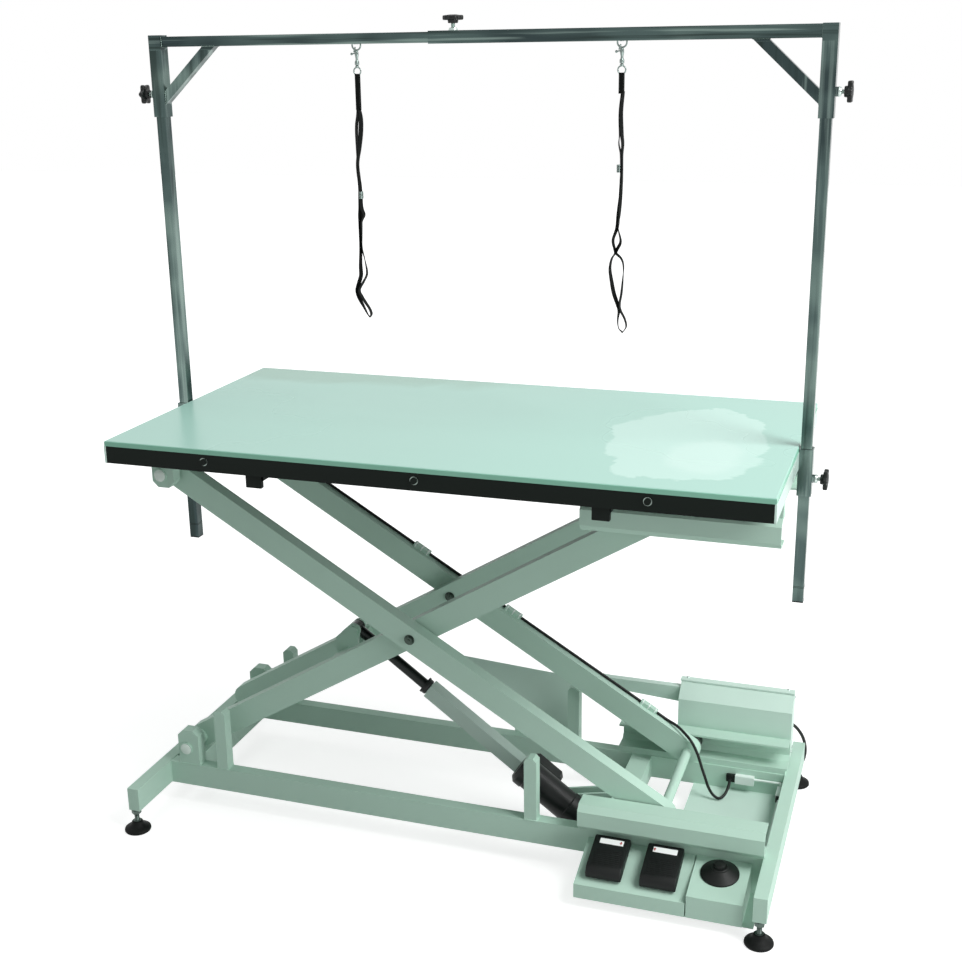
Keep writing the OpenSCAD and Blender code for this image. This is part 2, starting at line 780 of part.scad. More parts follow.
// Arm in its own frame: pivot at the origin, roller end at arm_len along X
module arm(y, bore_a, bore_mid, bore_b) {
    bush = 5;
    difference() {
        union() {
            difference() {
                union() {
                    block([0, y, -arm_h / 2], [arm_len, y + arm_w, arm_h / 2]);
                    pin_y(0, 0, y, y + arm_w, arm_h / 2);
                    pin_y(arm_len, 0, y, y + arm_w, arm_h / 2);
                }
                block([arm_h / 2, y + arm_wall, -arm_h / 2 + arm_wall],
                    [arm_len - arm_h / 2, y + arm_w - arm_wall, arm_h / 2 - arm_wall]);
            }
            pin_y(arm_len / 2, 0, y, y + arm_w, bore_mid + bush);
        }
        pin_y(0, 0, y - 1, y + arm_w + 1, bore_a);
        pin_y(arm_len / 2, 0, y - 1, y + arm_w + 1, bore_mid);
        pin_y(arm_len, 0, y - 1, y + arm_w + 1, bore_b);
    }
}

// Places its children in the inner frame, which rises to the right
module in_inner() {
    translate([pivot_x, 0, low_z]) rotate([0, -rest_angle, 0]) children();
}

// Places its children in the outer frame, which falls to the right
module in_outer() {
    translate([pivot_x, 0, up_z]) rotate([0, rest_angle, 0]) children();
}

module inner_arm_near() {
    color(paint) in_inner() arm(-inner_y - arm_w, pin_r + fit, centre_d / 2, pin_r);
}

module inner_arm_far() {
    color(paint) in_inner() arm(inner_y, pin_r + fit, centre_d / 2, pin_r);
}

// Lug that holds the rod's eye, in the inner frame
module eye_lug(y) {
    lug_r = 14;
    difference() {
        translate([0, y + lug_t, 0]) rotate([90, 0, 0]) linear_extrude(lug_t)
            union() {
                translate([eye_along, eye_up]) circle(lug_r);
                polygon([[eye_along - cross_back + 2, cross_side / 2],
                    [eye_along - cross_back + 20, eye_up + 4], [eye_along - 5, eye_up + lug_r - 1],
                    [eye_along + lug_r - 2, eye_up - 6],
                    [eye_along - cross_back + cross_side, -cross_side * 0.28],
                    [eye_along - cross_back + cross_side, cross_side / 2]]);
            }
        pin_y(eye_along, eye_up, y - 1, y + lug_t + 1, act_pin_r + fit);
    }
}

module inner_cross() {
    x = eye_along - cross_back;
    half = cross_side / 2;
    head = 6;
    color(paint)
    in_inner() {
        box_tube([x, -inner_y, -half], [x + cross_side, inner_y, half], arm_wall);
        eye_lug(lug_near);
        eye_lug(lug_far);
    }
    color(steel)
    in_inner() {
        pin_y(eye_along, eye_up, lug_near - head, lug_near, act_pin_r + 4);
        pin_y(eye_along, eye_up, lug_near - head, lug_far + lug_t + head, act_pin_r);
        pin_y(eye_along, eye_up, lug_far + lug_t, lug_far + lug_t + head, act_pin_r + 4);
    }
}

// Hub tubes on the lower pins, and the upper roller shaft with its collars
module inner_shafts() {
    hub_r = pin_r + 6;
    collar_r = pin_r + 4;
    color(paint)
    both_sides()
        difference() {
            pin_y(pivot_x, low_z, -ear_in + 0.5, -inner_y - arm_w, hub_r);
            pin_y(pivot_x, low_z, -ear_in - 1, -inner_y, pin_r + fit);
        }
    color(paint) {
        pin_y(roller_x, up_z, -roller_y - roller_w - 1, roller_y + roller_w + 1, pin_r);
        both_sides() pin_y(roller_x, up_z, -roller_y + 0.3, -inner_y - arm_w, collar_r);
    }
}

// Centre bolts: head outside the outer arm, nut inside the inner arm
module centre_bolts() {
    nut_r = centre_d * 0.8;
    color(steel)
    both_sides()
        in_inner() {
            pin_y(arm_len / 2, 0, -outer_y - arm_w - 3, -inner_y + 12, centre_d / 2);
            pin_y(arm_len / 2, 0, -outer_y - arm_w - 2.5, -outer_y - arm_w - 0.5, nut_r + 3);
            translate([arm_len / 2, -outer_y - arm_w - 2.5, 0]) rotate([90, 0, 0])
                cylinder(h = 7, r = nut_r, $fn = 6);
            pin_y(arm_len / 2, 0, -outer_y + 0.2, -inner_y - arm_w, nut_r + 3);
            translate([arm_len / 2, -inner_y + 10, 0]) rotate([90, 0, 0])
                cylinder(h = 10, r = nut_r, $fn = 6);
        }
}

module outer_arm_near() {
    color(paint) in_outer() arm(-outer_y - arm_w, pin_r + fit, centre_d / 2 + fit, pin_r);
}

// Far outer arm, with the clips that hold the cable on its top
module outer_arm_far() {
    color(paint)
    in_outer()
        difference() {
            union() {
                arm(outer_y, pin_r + fit, centre_d / 2 + fit, pin_r);
                for (s = clip_starts)
                    block([s, cable_y - 7, arm_h / 2], [s + clip_len, cable_y + 7, arm_h / 2 + clip_h]);
            }
            translate([clip_starts[0] - 1, cable_y, cable_up]) rotate([0, 90, 0])
                cylinder(h = arm_len, r = cable_d / 2 + 0.05);
        }
}

module outer_shaft() {
    collar_r = pin_r + 4;
    color(paint) {
        pin_y(roller_x, low_z, -roller_y - roller_w - 1, roller_y + roller_w + 1, pin_r);
        both_sides() pin_y(roller_x, low_z, -roller_y + 0.3, -outer_y - arm_w, collar_r);
    }
}

module arm_cable() {
    color(black)
    in_outer()
        translate([90, cable_y, cable_up]) rotate([0, 90, 0]) cylinder(h = clip_end - 90, r = cable_d / 2);
}

// Roller pair on the shaft at height z
module roller_pair(z) {
    groove = 1.5;
    color(black)
    both_sides()
        translate([roller_x, -roller_y, z]) rotate([90, 0, 0])
            rotate_extrude()
                polygon([[pin_r + fit, 0], [pin_r + 6, 0], [pin_r + 6, groove], [roller_d / 2 - 4, groove],
                    [roller_d / 2 - 3, 0], [roller_d / 2 - 1, 0], [roller_d / 2, 1],
                    [roller_d / 2, roller_w - 1], [roller_d / 2 - 1, roller_w], [pin_r + fit, roller_w]]);
}
module rollers_low() {
    roller_pair(low_z);
}
module rollers_up() {
    roller_pair(up_z);
}

// Places its children on the actuator: eye at the origin, tail along X
module in_actuator() {
    translate([eye_x, act_y, eye_z]) rotate([0, act_angle, 0]) children();
}

module actuator_rod() {
    eye_r = 13;
    color(black)
    in_actuator()
        difference() {
            union() {
                pin_y(0, 0, -eye_w / 2, eye_w / 2, eye_r);
                pin_x(0, 0, 6, rod_end, rod_d / 2);
            }
            pin_y(0, 0, -eye_w / 2 - 1, eye_w / 2 + 1, act_pin_r + fit);
        }
}

module actuator_tube() {
    collar_len = 12;
    half = act_tube / 2;
    tube_end = gear_start;
    color(paint)
    in_actuator()
        difference() {
            block([tube_start, -half, -half], [tube_end, half, half]);
            pin_x(0, 0, tube_start - 1, tube_end - 6, tube_bore);
        }
    color(black)
    in_actuator()
        difference() {
            pin_x(0, 0, tube_start - collar_len, tube_start, half - 0.5);
            pin_x(0, 0, tube_start - collar_len - 1, tube_start + 1, tube_bore);
        }
}

// Gear housing at the tube's end, the motor beside it and the tail eye.
// The tail pivot is open: the eye stands between its lugs with no bolt through it.
module actuator_motor() {
    motor_y = -54;
    motor_up = 30;
    motor_start = 442;
    motor_len = 163;
    motor_r = motor_d / 2;
    bevel = 9;
    tail_r = 13;
    color(black)
    in_actuator() {
        translate([0, 20, 0]) rotate([90, 0, 0]) linear_extrude(40)
            polygon([[gear_start, -21], [gear_start, 30], [gear_start + bevel, 30 + bevel],
                [gear_start + gear_len - bevel, 30 + bevel], [gear_start + gear_len, 30],
                [gear_start + gear_len, -12], [gear_start + gear_len - bevel, -21]]);
        block([gear_start + 4, motor_y, motor_up - 22], [gear_start + gear_len - 6, -18, motor_up + 20]);
        translate([motor_start, motor_y, motor_up]) rotate([0, 90, 0])
            rotate_extrude()
                polygon([[0, 0], [motor_r - 8, 0], [motor_r, 8], [motor_r, 24], [motor_r - 2, 26],
                    [motor_r - 2, motor_len - 40], [motor_r, motor_len - 38], [motor_r, motor_len - 8],
                    [motor_r - 8, motor_len], [14, motor_len], [12, motor_len + 5], [0, motor_len + 5]]);
        block([gear_start + gear_len - 1, -eye_w / 2, -tail_r + 2], [act_len, eye_w / 2, tail_r - 2]);
        pin_y(act_len, 0, -eye_w / 2, eye_w / 2, tail_r);
    }
}

// Table top

module glass_top() {
    edge = 1.5;
    color([0.70, 0.86, 0.80])
    hull() {
        block([-half_len, -half_dep, glass_z], [half_len, half_dep, top_z - edge]);
        block([-half_len + edge, -half_dep + edge, top_z - edge],
            [half_len - edge, half_dep - edge, top_z]);
    }
}

module lit_panel() {
    inset = tray_sheet + 0.5;
    color(white)
    block([-half_len + inset, -half_dep + inset, glass_z - panel_t],
        [half_len - inset, half_dep - inset, glass_z - 0.2]);
}

// Folded tray with a band round it, ribs under the panel and the edge bolts
module top_tray() {
    rib_w = 20;
    rib_x = half_len - 90;
    color(black) {
        difference() {
            block([-half_len, -half_dep, tray_z], [half_len, half_dep, glass_z]);
            block([-half_len + tray_sheet, -half_dep + tray_sheet, tray_z + tray_sheet],
                [half_len - tray_sheet, half_dep - tray_sheet, glass_z + 1]);
        }
        for (x = [-rib_x, 0, rib_x])
            block([x - rib_w / 2, -half_dep + tray_sheet, tray_z + tray_sheet],
                [x + rib_w / 2, half_dep - tray_sheet, glass_z - panel_t - 0.2]);
    }
    color(steel)
    both_sides()
        for (x = [-bolt_span / 2, 0, bolt_span / 2])
            translate([x, -half_dep, tray_z + 19]) rotate([90, 0, 0]) cylinder(h = bolt_out, r = 6);
}

module cross_bars() {
    color(black)
    for (x = [-bar_span / 2, bar_span / 2])
        box_tube([x - bar_w / 2, -bar_len / 2, bar_z], [x + bar_w / 2, bar_len / 2, tray_z], rail_wall);
}

// Bearers between the cross bars, three a side
module top_bearers() {
    inner_end = bar_span / 2 - bar_w / 2;
    outer_end = bar_span / 2 + bar_w / 2;
    color(paint)
    both_sides() {
        box_tube([ear_x0, -bearer_in - rail_w, bar_z], [-outer_end, -bearer_in, tray_z], rail_wall);
        box_tube([-inner_end, -bearer_in - rail_w, bar_z], [inner_end, -bearer_in, tray_z], rail_wall);
        box_tube([outer_end, -bearer_in - rail_w, bar_z], [track_x1, -bearer_in, tray_z], rail_wall);
    }
}

module tracks_up() {
    color(paint)
    both_sides() {
        track(up_z);
        block([track_x0, -bearer_in - rail_w, up_z + track_half], [track_x1, -bearer_in, bar_z]);
    }
}

// Ears under the bearers with the upper pivot pins
module upper_ears() {
    ear_low = up_z - 25;
    color(paint)
    both_sides() {
        difference() {
            translate([0, -bearer_in, 0]) rotate([90, 0, 0]) linear_extrude(rail_w)
                ear_outline(bar_z, ear_low);
            pin_y(pivot_x, up_z, -bearer_in - rail_w - 1, -bearer_in + 1, pin_r + fit);
        }
        pivot_pin(up_z, bearer_in + rail_w, outer_y + 0.5);
        difference() {
            pin_y(pivot_x, up_z, -bearer_in, -outer_y - arm_w - 0.5, pin_r + 5);
            pin_y(pivot_x, up_z, -bearer_in - 1, -outer_y - arm_w, pin_r + fit);
        }
    }
}

// Square sleeve round a post, from z0 to z1, with a threaded hole for a knob on its outer face
module sleeve(side, z0, z1, knob_z) {
    half = clamp_side / 2;
    hole = post_w / 2 + sleeve_play;
    x = side * post_x;
    outside = side * (post_x + half + 1);
    difference() {
        block([x - half, -half, z0], [x + half, half, z1]);
        block([x - hole, -hole, z0 - 1], [x + hole, hole, z1 + 1]);
        pin_x(0, knob_z, min(x, outside), max(x, outside), stem_r + thread_play);
    }
}

// Weld nut on a sleeve's outer face
module weld_nut(side, z) {
    nut_h = 5;
    nut_r = 8;
    face = post_x + clamp_side / 2;
    hole_in = side * (face - 1);
    hole_out = side * (face + nut_h + 1);
    difference() {
        translate([side > 0 ? face : -face - nut_h, 0, z]) rotate([0, 90, 0])
            cylinder(h = nut_h, r = nut_r, $fn = 6);
        pin_x(0, z, min(hole_in, hole_out), max(hole_in, hole_out), stem_r + thread_play);
    }
}

module post_clamps() {
    tongue_t = 6;
    tongue_w = 60;
    clamp_top = top_z - clamp_drop;
    tongue_end = half_len - 30;
    for (side = [-1, 1]) {
        color(steel) sleeve(side, clamp_top - clamp_h, clamp_top, clamp_knob_z);
        color(steel) weld_nut(side, clamp_knob_z);
        color(black)
        block([min(side * tongue_end, side * half_len), -tongue_w / 2, tray_z - tongue_t],
            [max(side * tongue_end, side * half_len), tongue_w / 2, tray_z]);
    }
}

// Gantry

module post(side) {
    top = gantry_top - 27;
    cap_t = 3;
    half = post_w / 2;
    color(steel)
    difference() {
        block([side * post_x - half, -half, post_z + cap_t], [side * post_x + half, half, top]);
        block([side * post_x - half + gantry_wall, -half + gantry_wall, post_z],
            [side * post_x + half - gantry_wall, half - gantry_wall, top + 1]);
    }
    color(black)
    block([side * post_x - half, -half, post_z], [side * post_x + half, half, post_z + cap_t]);
}
module post_left() {
    post(-1);
}
module post_right() {
    post(1);
}

// Corner sleeve with its closed top and its brace up to the beam's underside
module corner(side, under) {
    cap = 2;
    brace_t = 27;
    brace_y = 9;
    near = sleeve_in - brace_run;
    low = under - brace_run;
    color(steel) {
        sleeve(side, sleeve_z, gantry_top - cap, corner_knob_z);
        weld_nut(side, corner_knob_z);
        block([side * post_x - clamp_side / 2, -clamp_side / 2, gantry_top - cap],
            [side * post_x + clamp_side / 2, clamp_side / 2, gantry_top]);
        translate([0, brace_y, 0]) rotate([90, 0, 0]) linear_extrude(2 * brace_y)
            polygon([[side * near, under], [side * (near - brace_t), under],
                [side * sleeve_in, low - brace_t + 8], [side * sleeve_in, low + 6]]);
    }
}

// Two small holes in a beam's underside, where a snap's bow passes
module hook_holes(x, z) {
    for (dx = [-bow_r, bow_r])
        pin_z(x + dx, 0, z - 1, z + gantry_wall + 1, hook_hole_r);
}

// Bar welded across the inside of a beam, over which a snap's bow hangs
module hook_bar(x, z, half) {
    top = z - bow_drop + bow_r - bow_wire - 0.15;
    pin_y(x, top - hook_bar_r, -half + gantry_wall / 2, half - gantry_wall / 2, hook_bar_r);
}

module gantry_left() {
    half = beam_in_side / 2;
    under = beam_z - half;
    inner_end = 40;
    color(steel)
    difference() {
        block([-sleeve_in, -half, under], [inner_end, half, beam_z + half]);
        block([-sleeve_in + 1, -half + gantry_wall, under + gantry_wall],
            [inner_end + 1, half - gantry_wall, beam_z + half - gantry_wall]);
        hook_holes(hook_left, under);
    }
    color(steel) hook_bar(hook_left, under, half);
    corner(-1, under);
}

module gantry_right() {
    half = beam_side / 2;
    under = beam_z - half;
    hollow = half - gantry_wall;
    color(steel)
    difference() {
        block([beam_split, -half, under], [sleeve_in, half, beam_z + half]);
        block([beam_split - 1, -hollow, beam_z - hollow], [sleeve_in - 1, hollow, beam_z + hollow]);
        hook_holes(hook_right, under);
        pin_z(knob_beam_x, 0, beam_z, beam_z + half + 1, stem_r + thread_play);
    }
    color(steel) hook_bar(hook_right, under, half);
    corner(1, under);
}

// Lobed knob on a threaded stem, pointing up from the origin
module knob() {
    lobes = 6;
    lobe_r = knob_d * 0.16;
    color(black)
    translate([0, 0, knob_reach]) {
        cylinder(h = knob_h, r = knob_d / 2 - lobe_r);
        for (k = [0:lobes - 1])
            rotate([0, 0, 360 * k / lobes]) translate([knob_d / 2 - lobe_r, 0, 0])
                cylinder(h = knob_h, r = lobe_r);
        translate([0, 0, -5]) cylinder(h = 5, r1 = 8, r2 = 11);
    }
    color(steel) cylinder(h = knob_reach - 5, r = stem_r);
}

// Knob on the outer side of a post, its stem's tip just short of the post
module side_knob(side, z) {
    longer = 3;
    translate([side * (post_x + post_w / 2 + 0.1), 0, z]) rotate([0, side * 90, 0]) {
        color(steel) cylinder(h = longer, r = stem_r);
        translate([0, 0, longer]) knob();
    }
}

module knob_beam() {
    tip = beam_z + beam_in_side / 2 + 0.1;
    translate([knob_beam_x, 0, tip]) knob();
}
module knob_corner_left() {
    side_knob(-1, corner_knob_z);
}
module knob_corner_right() {
    side_knob(1, corner_knob_z);
}
module knob_clamp_left() {
    side_knob(-1, clamp_knob_z);
}
module knob_clamp_right() {
    side_knob(1, clamp_knob_z);
}

// Snap hook that hangs by its bow through the beam's underside
module snap(x, z) {
    body_r = 3.4;
    color(steel)
    translate([x, 0, z]) {
        rotate([90, 0, 0]) rotate_extrude() translate([bow_r, 0]) circle(bow_wire);
        difference() {
            union() {
                translate([0, 0, -snap_low + 6]) cylinder(h = snap_low - 6 - bow_r, r1 = 2.6, r2 = body_r);
                translate([0, 0, -snap_low]) cylinder(h = 7, r = 4.2);
            }
            translate([0, 0, -snap_low - 1]) cylinder(h = 7, r = swivel_r + fit);
        }
        translate([0, 0, -bow_r - 5]) rotate([0, -100, 0]) cylinder(h = 12, r = 1.2);
    }
}
module snap_left() {
    snap(hook_left, bow_left_z);
}
module snap_right() {
    snap(hook_right, bow_right_z);
}

// Outline of a strap seen edge on: points offset to both sides of the line p
function side_of(p, i, d) = let (t = heading(p, i)) p[i] + d * [-t[1], t[0]];
module strap_line(drops) {
    p = smooth([for (q = drops) [q[0], gantry_top - q[1]]], 3);
    n = len(p);
    polygon(concat([for (i = [0:n - 1]) side_of(p, i, strap_t / 2)],
        [for (i = [n - 1:-1:0]) side_of(p, i, -strap_t / 2)]));
}

// Noose under a swivel: ring, flat strap, then two plies that part and meet
module noose(x, z, a, b, facing_drop, slider_drop) {
    ring_z = z - snap_low - 11;
    face_low = gantry_top - facing_drop;
    slider_z = gantry_top - slider_drop;
    color(steel) {
        translate([x, 0, ring_z]) rotate([90, 0, 0]) rotate_extrude() translate([7, 0]) circle(1.3);
        translate([x, 0, ring_z + 6]) cylinder(h = 4.7, r = 3.4);
        translate([x, 0, ring_z + 8]) cylinder(h = 8, r = swivel_r);
    }
    color(black) {
        block([x - strap_w / 2, -1.6, face_low], [x + strap_w / 2, 1.6, ring_z - 5.8]);
        translate([x, strap_w / 2, 0]) rotate([90, 0, 0]) linear_extrude(strap_w) {
            strap_line(a);
            strap_line(b);
        }
    }
    color(steel)
    block([x - 7, -strap_w / 2 - 1, slider_z], [x + 3, strap_w / 2 + 1, slider_z + 14]);
}
module noose_left() {
    noose(hook_left, bow_left_z, NOOSE_LEFT_A, NOOSE_LEFT_B, facing_left_drop, slider_left_drop);
}
module noose_right() {
    noose(hook_right, bow_right_z, NOOSE_RIGHT_A, NOOSE_RIGHT_B, facing_right_drop, slider_right_drop);
}

base_cross_tubes();
base_rails();
base_inner_tubes();
rail_posts();
lower_pins();
tracks_low();
base_plates();
cable_duct();
control_box();
control_lid();
pedal_panel();
switch_bodies();
light_connectors();
light_cable();
foot_front_left();
foot_back_left();
foot_front_right();
foot_back_right();
pedal_down();
pedal_up();
switch_button();
mains_lead();
mains_coil();
mains_plug();
inner_arm_near();
inner_arm_far();
inner_cross();
inner_shafts();
centre_bolts();
outer_arm_near();
outer_arm_far();
outer_shaft();
arm_cable();
rollers_low();
rollers_up();
actuator_rod();
actuator_tube();
actuator_motor();
glass_top();
lit_panel();
top_tray();
top_bearers();
cross_bars();
tracks_up();
upper_ears();
post_clamps();
post_left();
post_right();
gantry_left();
gantry_right();
knob_beam();
knob_corner_left();
knob_corner_right();
knob_clamp_left();
knob_clamp_right();
snap_left();
snap_right();
noose_left();
noose_right();
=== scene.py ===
import math
import random

import bmesh
import bpy
from mathutils import Matrix, Vector


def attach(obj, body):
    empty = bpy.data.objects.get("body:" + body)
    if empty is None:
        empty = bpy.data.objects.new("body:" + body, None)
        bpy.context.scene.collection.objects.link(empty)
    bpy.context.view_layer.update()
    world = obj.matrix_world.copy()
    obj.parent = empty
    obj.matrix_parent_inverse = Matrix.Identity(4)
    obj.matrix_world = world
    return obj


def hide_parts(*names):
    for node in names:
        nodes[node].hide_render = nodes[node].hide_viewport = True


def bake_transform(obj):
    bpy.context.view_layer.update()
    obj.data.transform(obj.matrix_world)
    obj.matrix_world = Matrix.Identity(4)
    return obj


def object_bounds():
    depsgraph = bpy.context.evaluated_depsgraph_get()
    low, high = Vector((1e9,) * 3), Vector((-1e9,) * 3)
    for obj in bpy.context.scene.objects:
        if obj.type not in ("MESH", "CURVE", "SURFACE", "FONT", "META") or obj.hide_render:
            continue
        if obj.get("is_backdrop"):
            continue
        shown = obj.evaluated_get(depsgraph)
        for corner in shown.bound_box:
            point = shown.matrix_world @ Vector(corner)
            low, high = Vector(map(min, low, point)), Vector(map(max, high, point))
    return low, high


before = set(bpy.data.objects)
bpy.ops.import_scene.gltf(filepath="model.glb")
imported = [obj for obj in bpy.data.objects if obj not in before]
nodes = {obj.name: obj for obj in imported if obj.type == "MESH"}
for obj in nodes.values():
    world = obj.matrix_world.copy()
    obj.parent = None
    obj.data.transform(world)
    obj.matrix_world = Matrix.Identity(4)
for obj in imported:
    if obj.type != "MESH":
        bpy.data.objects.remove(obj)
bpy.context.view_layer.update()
scene = bpy.context.scene
mm = 0.001

# Camera. It stands at the photograph's place: in front of the table and past its right
# end, just under the height of the gantry's beam, and looks down to the left.
camera_place = Vector((859.3, -2471.0, 1547.6)) * mm
camera_yaw = math.radians(18.912)
camera_pitch = math.radians(17.365)
camera_roll = math.radians(0.827)
photo_width = 962
photo_focal = 1384.0
forward = Vector((-math.sin(camera_yaw) * math.cos(camera_pitch),
                  math.cos(camera_yaw) * math.cos(camera_pitch), -math.sin(camera_pitch)))
level_right = Vector((math.cos(camera_yaw), math.sin(camera_yaw), 0))
level_down = forward.cross(level_right)
right = math.cos(camera_roll) * level_right + math.sin(camera_roll) * level_down
down = -math.sin(camera_roll) * level_right + math.cos(camera_roll) * level_down
lens = bpy.data.cameras.new("camera")
lens.sensor_width = 36
lens.lens = photo_focal / photo_width * lens.sensor_width
camera = bpy.data.objects.new("camera", lens)
camera.matrix_world = Matrix((
    (right.x, -down.x, -forward.x, camera_place.x),
    (right.y, -down.y, -forward.y, camera_place.y),
    (right.z, -down.z, -forward.z, camera_place.z),
    (0, 0, 0, 1)))
lens.clip_end = 60
scene.collection.objects.link(camera)
scene.camera = camera


# Studio. A plain white floor and surround, a large soft lamp high up past the right end, a
# weaker one over the left of the top, and a low one past the right end's front corner.
def add_node(tree, kind, settings=(), links=()):
    """Makes a node. A setting is a property where it has a small letter, else an input's value."""
    made = tree.nodes.new(kind)
    for key, value in dict(settings).items():
        if isinstance(key, str) and hasattr(made, key) and not key[0].isupper():
            setattr(made, key, value)
        else:
            made.inputs[key].default_value = value
    for key, source in dict(links).items():
        tree.links.new(source, made.inputs[key])
    return made


def maths(tree, operation, *values):
    """The result of one sum. Each value is a number or another node's output."""
    made = add_node(tree, "ShaderNodeMath", {"operation": operation})
    for place, value in enumerate(values):
        if isinstance(value, bpy.types.NodeSocket):
            tree.links.new(value, made.inputs[place])
        else:
            made.inputs[place].default_value = value
    return made.outputs[0]


def own_axes(tree):
    return add_node(tree, "ShaderNodeTexCoord").outputs["Object"]


def ramp(tree, value, start, end, low=0.0, high=1.0):
    """Carries a value from start and end over to low and high."""
    made = add_node(tree, "ShaderNodeMapRange",
                    {"From Min": start, "From Max": end, "To Min": low, "To Max": high},
                    {"Value": value})
    return made.outputs[0]


scene.view_settings.view_transform = "Standard"
world = bpy.data.worlds.new("studio")
scene.world = world
world.use_nodes = True
sky = world.node_tree
for node in list(sky.nodes):
    sky.nodes.remove(node)
sky_seen = add_node(sky, "ShaderNodeBackground", {"Color": (1, 1, 1, 1), "Strength": 1.0})
sky_light = add_node(sky, "ShaderNodeBackground", {"Color": (0.94, 1.0, 0.97, 1), "Strength": 0.35})
sky_path = add_node(sky, "ShaderNodeLightPath")
sky_glossy = maths(sky, "MAXIMUM", sky_path.outputs["Is Camera Ray"], sky_path.outputs["Is Glossy Ray"])
sky_plain = maths(sky, "MAXIMUM", sky_glossy, sky_path.outputs["Is Transmission Ray"])
sky_mix = add_node(sky, "ShaderNodeMixShader", {},
                   {"Fac": sky_plain, 1: sky_light.outputs[0], 2: sky_seen.outputs[0]})
add_node(sky, "ShaderNodeOutputWorld", {}, {"Surface": sky_mix.outputs[0]})


def soft_lamp(name, place, aim, size, watts):
    data = bpy.data.lights.new(name, "AREA")
    data.shape = "SQUARE"
    data.size = size
    data.energy = watts
    lamp = bpy.data.objects.new(name, data)
    lamp.location = place
    lamp.rotation_mode = "QUATERNION"
    lamp.rotation_quaternion = (Vector(aim) - Vector(place)).to_track_quat("-Z", "Y")
    scene.collection.objects.link(lamp)


soft_lamp("key_lamp", (2.7, -0.6, 3.4), (0.1, 0, 0.4), 1.8, 128)
soft_lamp("top_lamp", (-0.8, 0.5, 4.0), (0, 0, 0.85), 2.0, 28)
soft_lamp("low_lamp", (3.1, -1.3, 0.8), (0.3, 0, 0.3), 1.3, 30)

# The floor is lifted to white further out, so that its edge doesn't show against the surround
floor_mesh = bpy.data.meshes.new("floor")
floor_half = 14.0
lift_from, lift_to = 0.9, 3.2
corners = [(-floor_half, -floor_half, 0), (floor_half, -floor_half, 0), (floor_half, floor_half, 0),
           (-floor_half, floor_half, 0)]
floor_mesh.from_pydata(corners, [], [(0, 1, 2, 3)])
floor = bpy.data.objects.new("floor", floor_mesh)
scene.collection.objects.link(floor)
floor_paint = bpy.data.materials.new("floor_white")
floor_paint.use_nodes = True
tree = floor_paint.node_tree
floor_bsdf = tree.nodes["Principled BSDF"]
floor_bsdf.inputs["Base Color"].default_value = (0.5, 0.5, 0.5, 1)
floor_bsdf.inputs["Roughness"].default_value = 0.9
floor_bsdf.inputs["Emission Color"].default_value = (1, 1, 1, 1)
floor_path = add_node(tree, "ShaderNodeLightPath")
floor_from = add_node(tree, "ShaderNodeVectorMath", {"operation": "LENGTH"}, {0: own_axes(tree)})
floor_white = ramp(tree, floor_from.outputs["Value"], lift_from, lift_to, 0.74, 1.0)
floor_seen = maths(tree, "MAXIMUM", floor_path.outputs["Is Camera Ray"], floor_path.outputs["Is Glossy Ray"])
floor_lift = maths(tree, "MULTIPLY", floor_seen, floor_white)
tree.links.new(floor_lift, floor_bsdf.inputs["Emission Strength"])
floor_mesh.materials.append(floor_paint)
floor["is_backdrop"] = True


# Cords. The mains lead is one round flex: out of the back of the control box, over the
# cross tube's far end to the floor, and into the coil that holds its spare length.
def colour(code):
    parts = [int(code[k:k + 2], 16) / 255 for k in (0, 2, 4)]
    return tuple(c / 12.92 if c <= 0.04045 else ((c + 0.055) / 1.055) ** 2.4 for c in parts) + (1.0,)


def shader_group(name, inputs, outputs):
    group = bpy.data.node_groups.new(name, "ShaderNodeTree")
    for label, kind, value in inputs:
        socket = group.interface.new_socket(name=label, in_out="INPUT", socket_type="NodeSocket" + kind)
        socket.default_value = value
    for label, kind in outputs:
        group.interface.new_socket(name=label, in_out="OUTPUT", socket_type="NodeSocket" + kind)
    return group, group.nodes.new("NodeGroupInput").outputs, group.nodes.new("NodeGroupOutput").inputs


# Tone: slow light and dark over a surface, with fine specks
tone, given, result = shader_group(
    "tone",
    [("Vector", "Vector", (0, 0, 0)), ("Color", "Color", (0.5, 0.5, 0.5, 1)), ("Scale", "Float", 3.0),
     ("Amount", "Float", 0.1), ("Specks", "Float", 0.02)],
    [("Color", "Color"), ("Value", "Float")])
slow = add_node(tone, "ShaderNodeTexNoise", {"Detail": 3.0, "Roughness": 0.55},
                {"Vector": given["Vector"], "Scale": given["Scale"]})
fine = add_node(tone, "ShaderNodeTexNoise", {"Scale": 420.0, "Detail": 2.0}, {"Vector": given["Vector"]})
slow_part = maths(tone, "MULTIPLY", maths(tone, "SUBTRACT", slow.outputs["Fac"], 0.5), given["Amount"])
fine_part = maths(tone, "MULTIPLY", maths(tone, "SUBTRACT", fine.outputs["Fac"], 0.5), given["Specks"])
gain = maths(tone, "ADD", maths(tone, "ADD", slow_part, fine_part), 1.0)
toned = add_node(tone, "ShaderNodeVectorMath", {"operation": "SCALE"}, {0: given["Color"], "Scale": gain})
tone.links.new(toned.outputs["Vector"], result["Color"])
tone.links.new(slow.outputs["Fac"], result["Value"])

# Peel: the fine ripple of paint or of moulded plastic, as a height
peel, given, result = shader_group(
    "peel",
    [("Vector", "Vector", (0, 0, 0)), ("Scale", "Float", 500.0)],
    [("Height", "Float")])
ripple = add_node(peel, "ShaderNodeTexNoise", {"Detail": 4.0, "Roughness": 0.6},
                  {"Vector": given["Vector"], "Scale": given["Scale"]})
peel.links.new(ripple.outputs["Fac"], result["Height"])

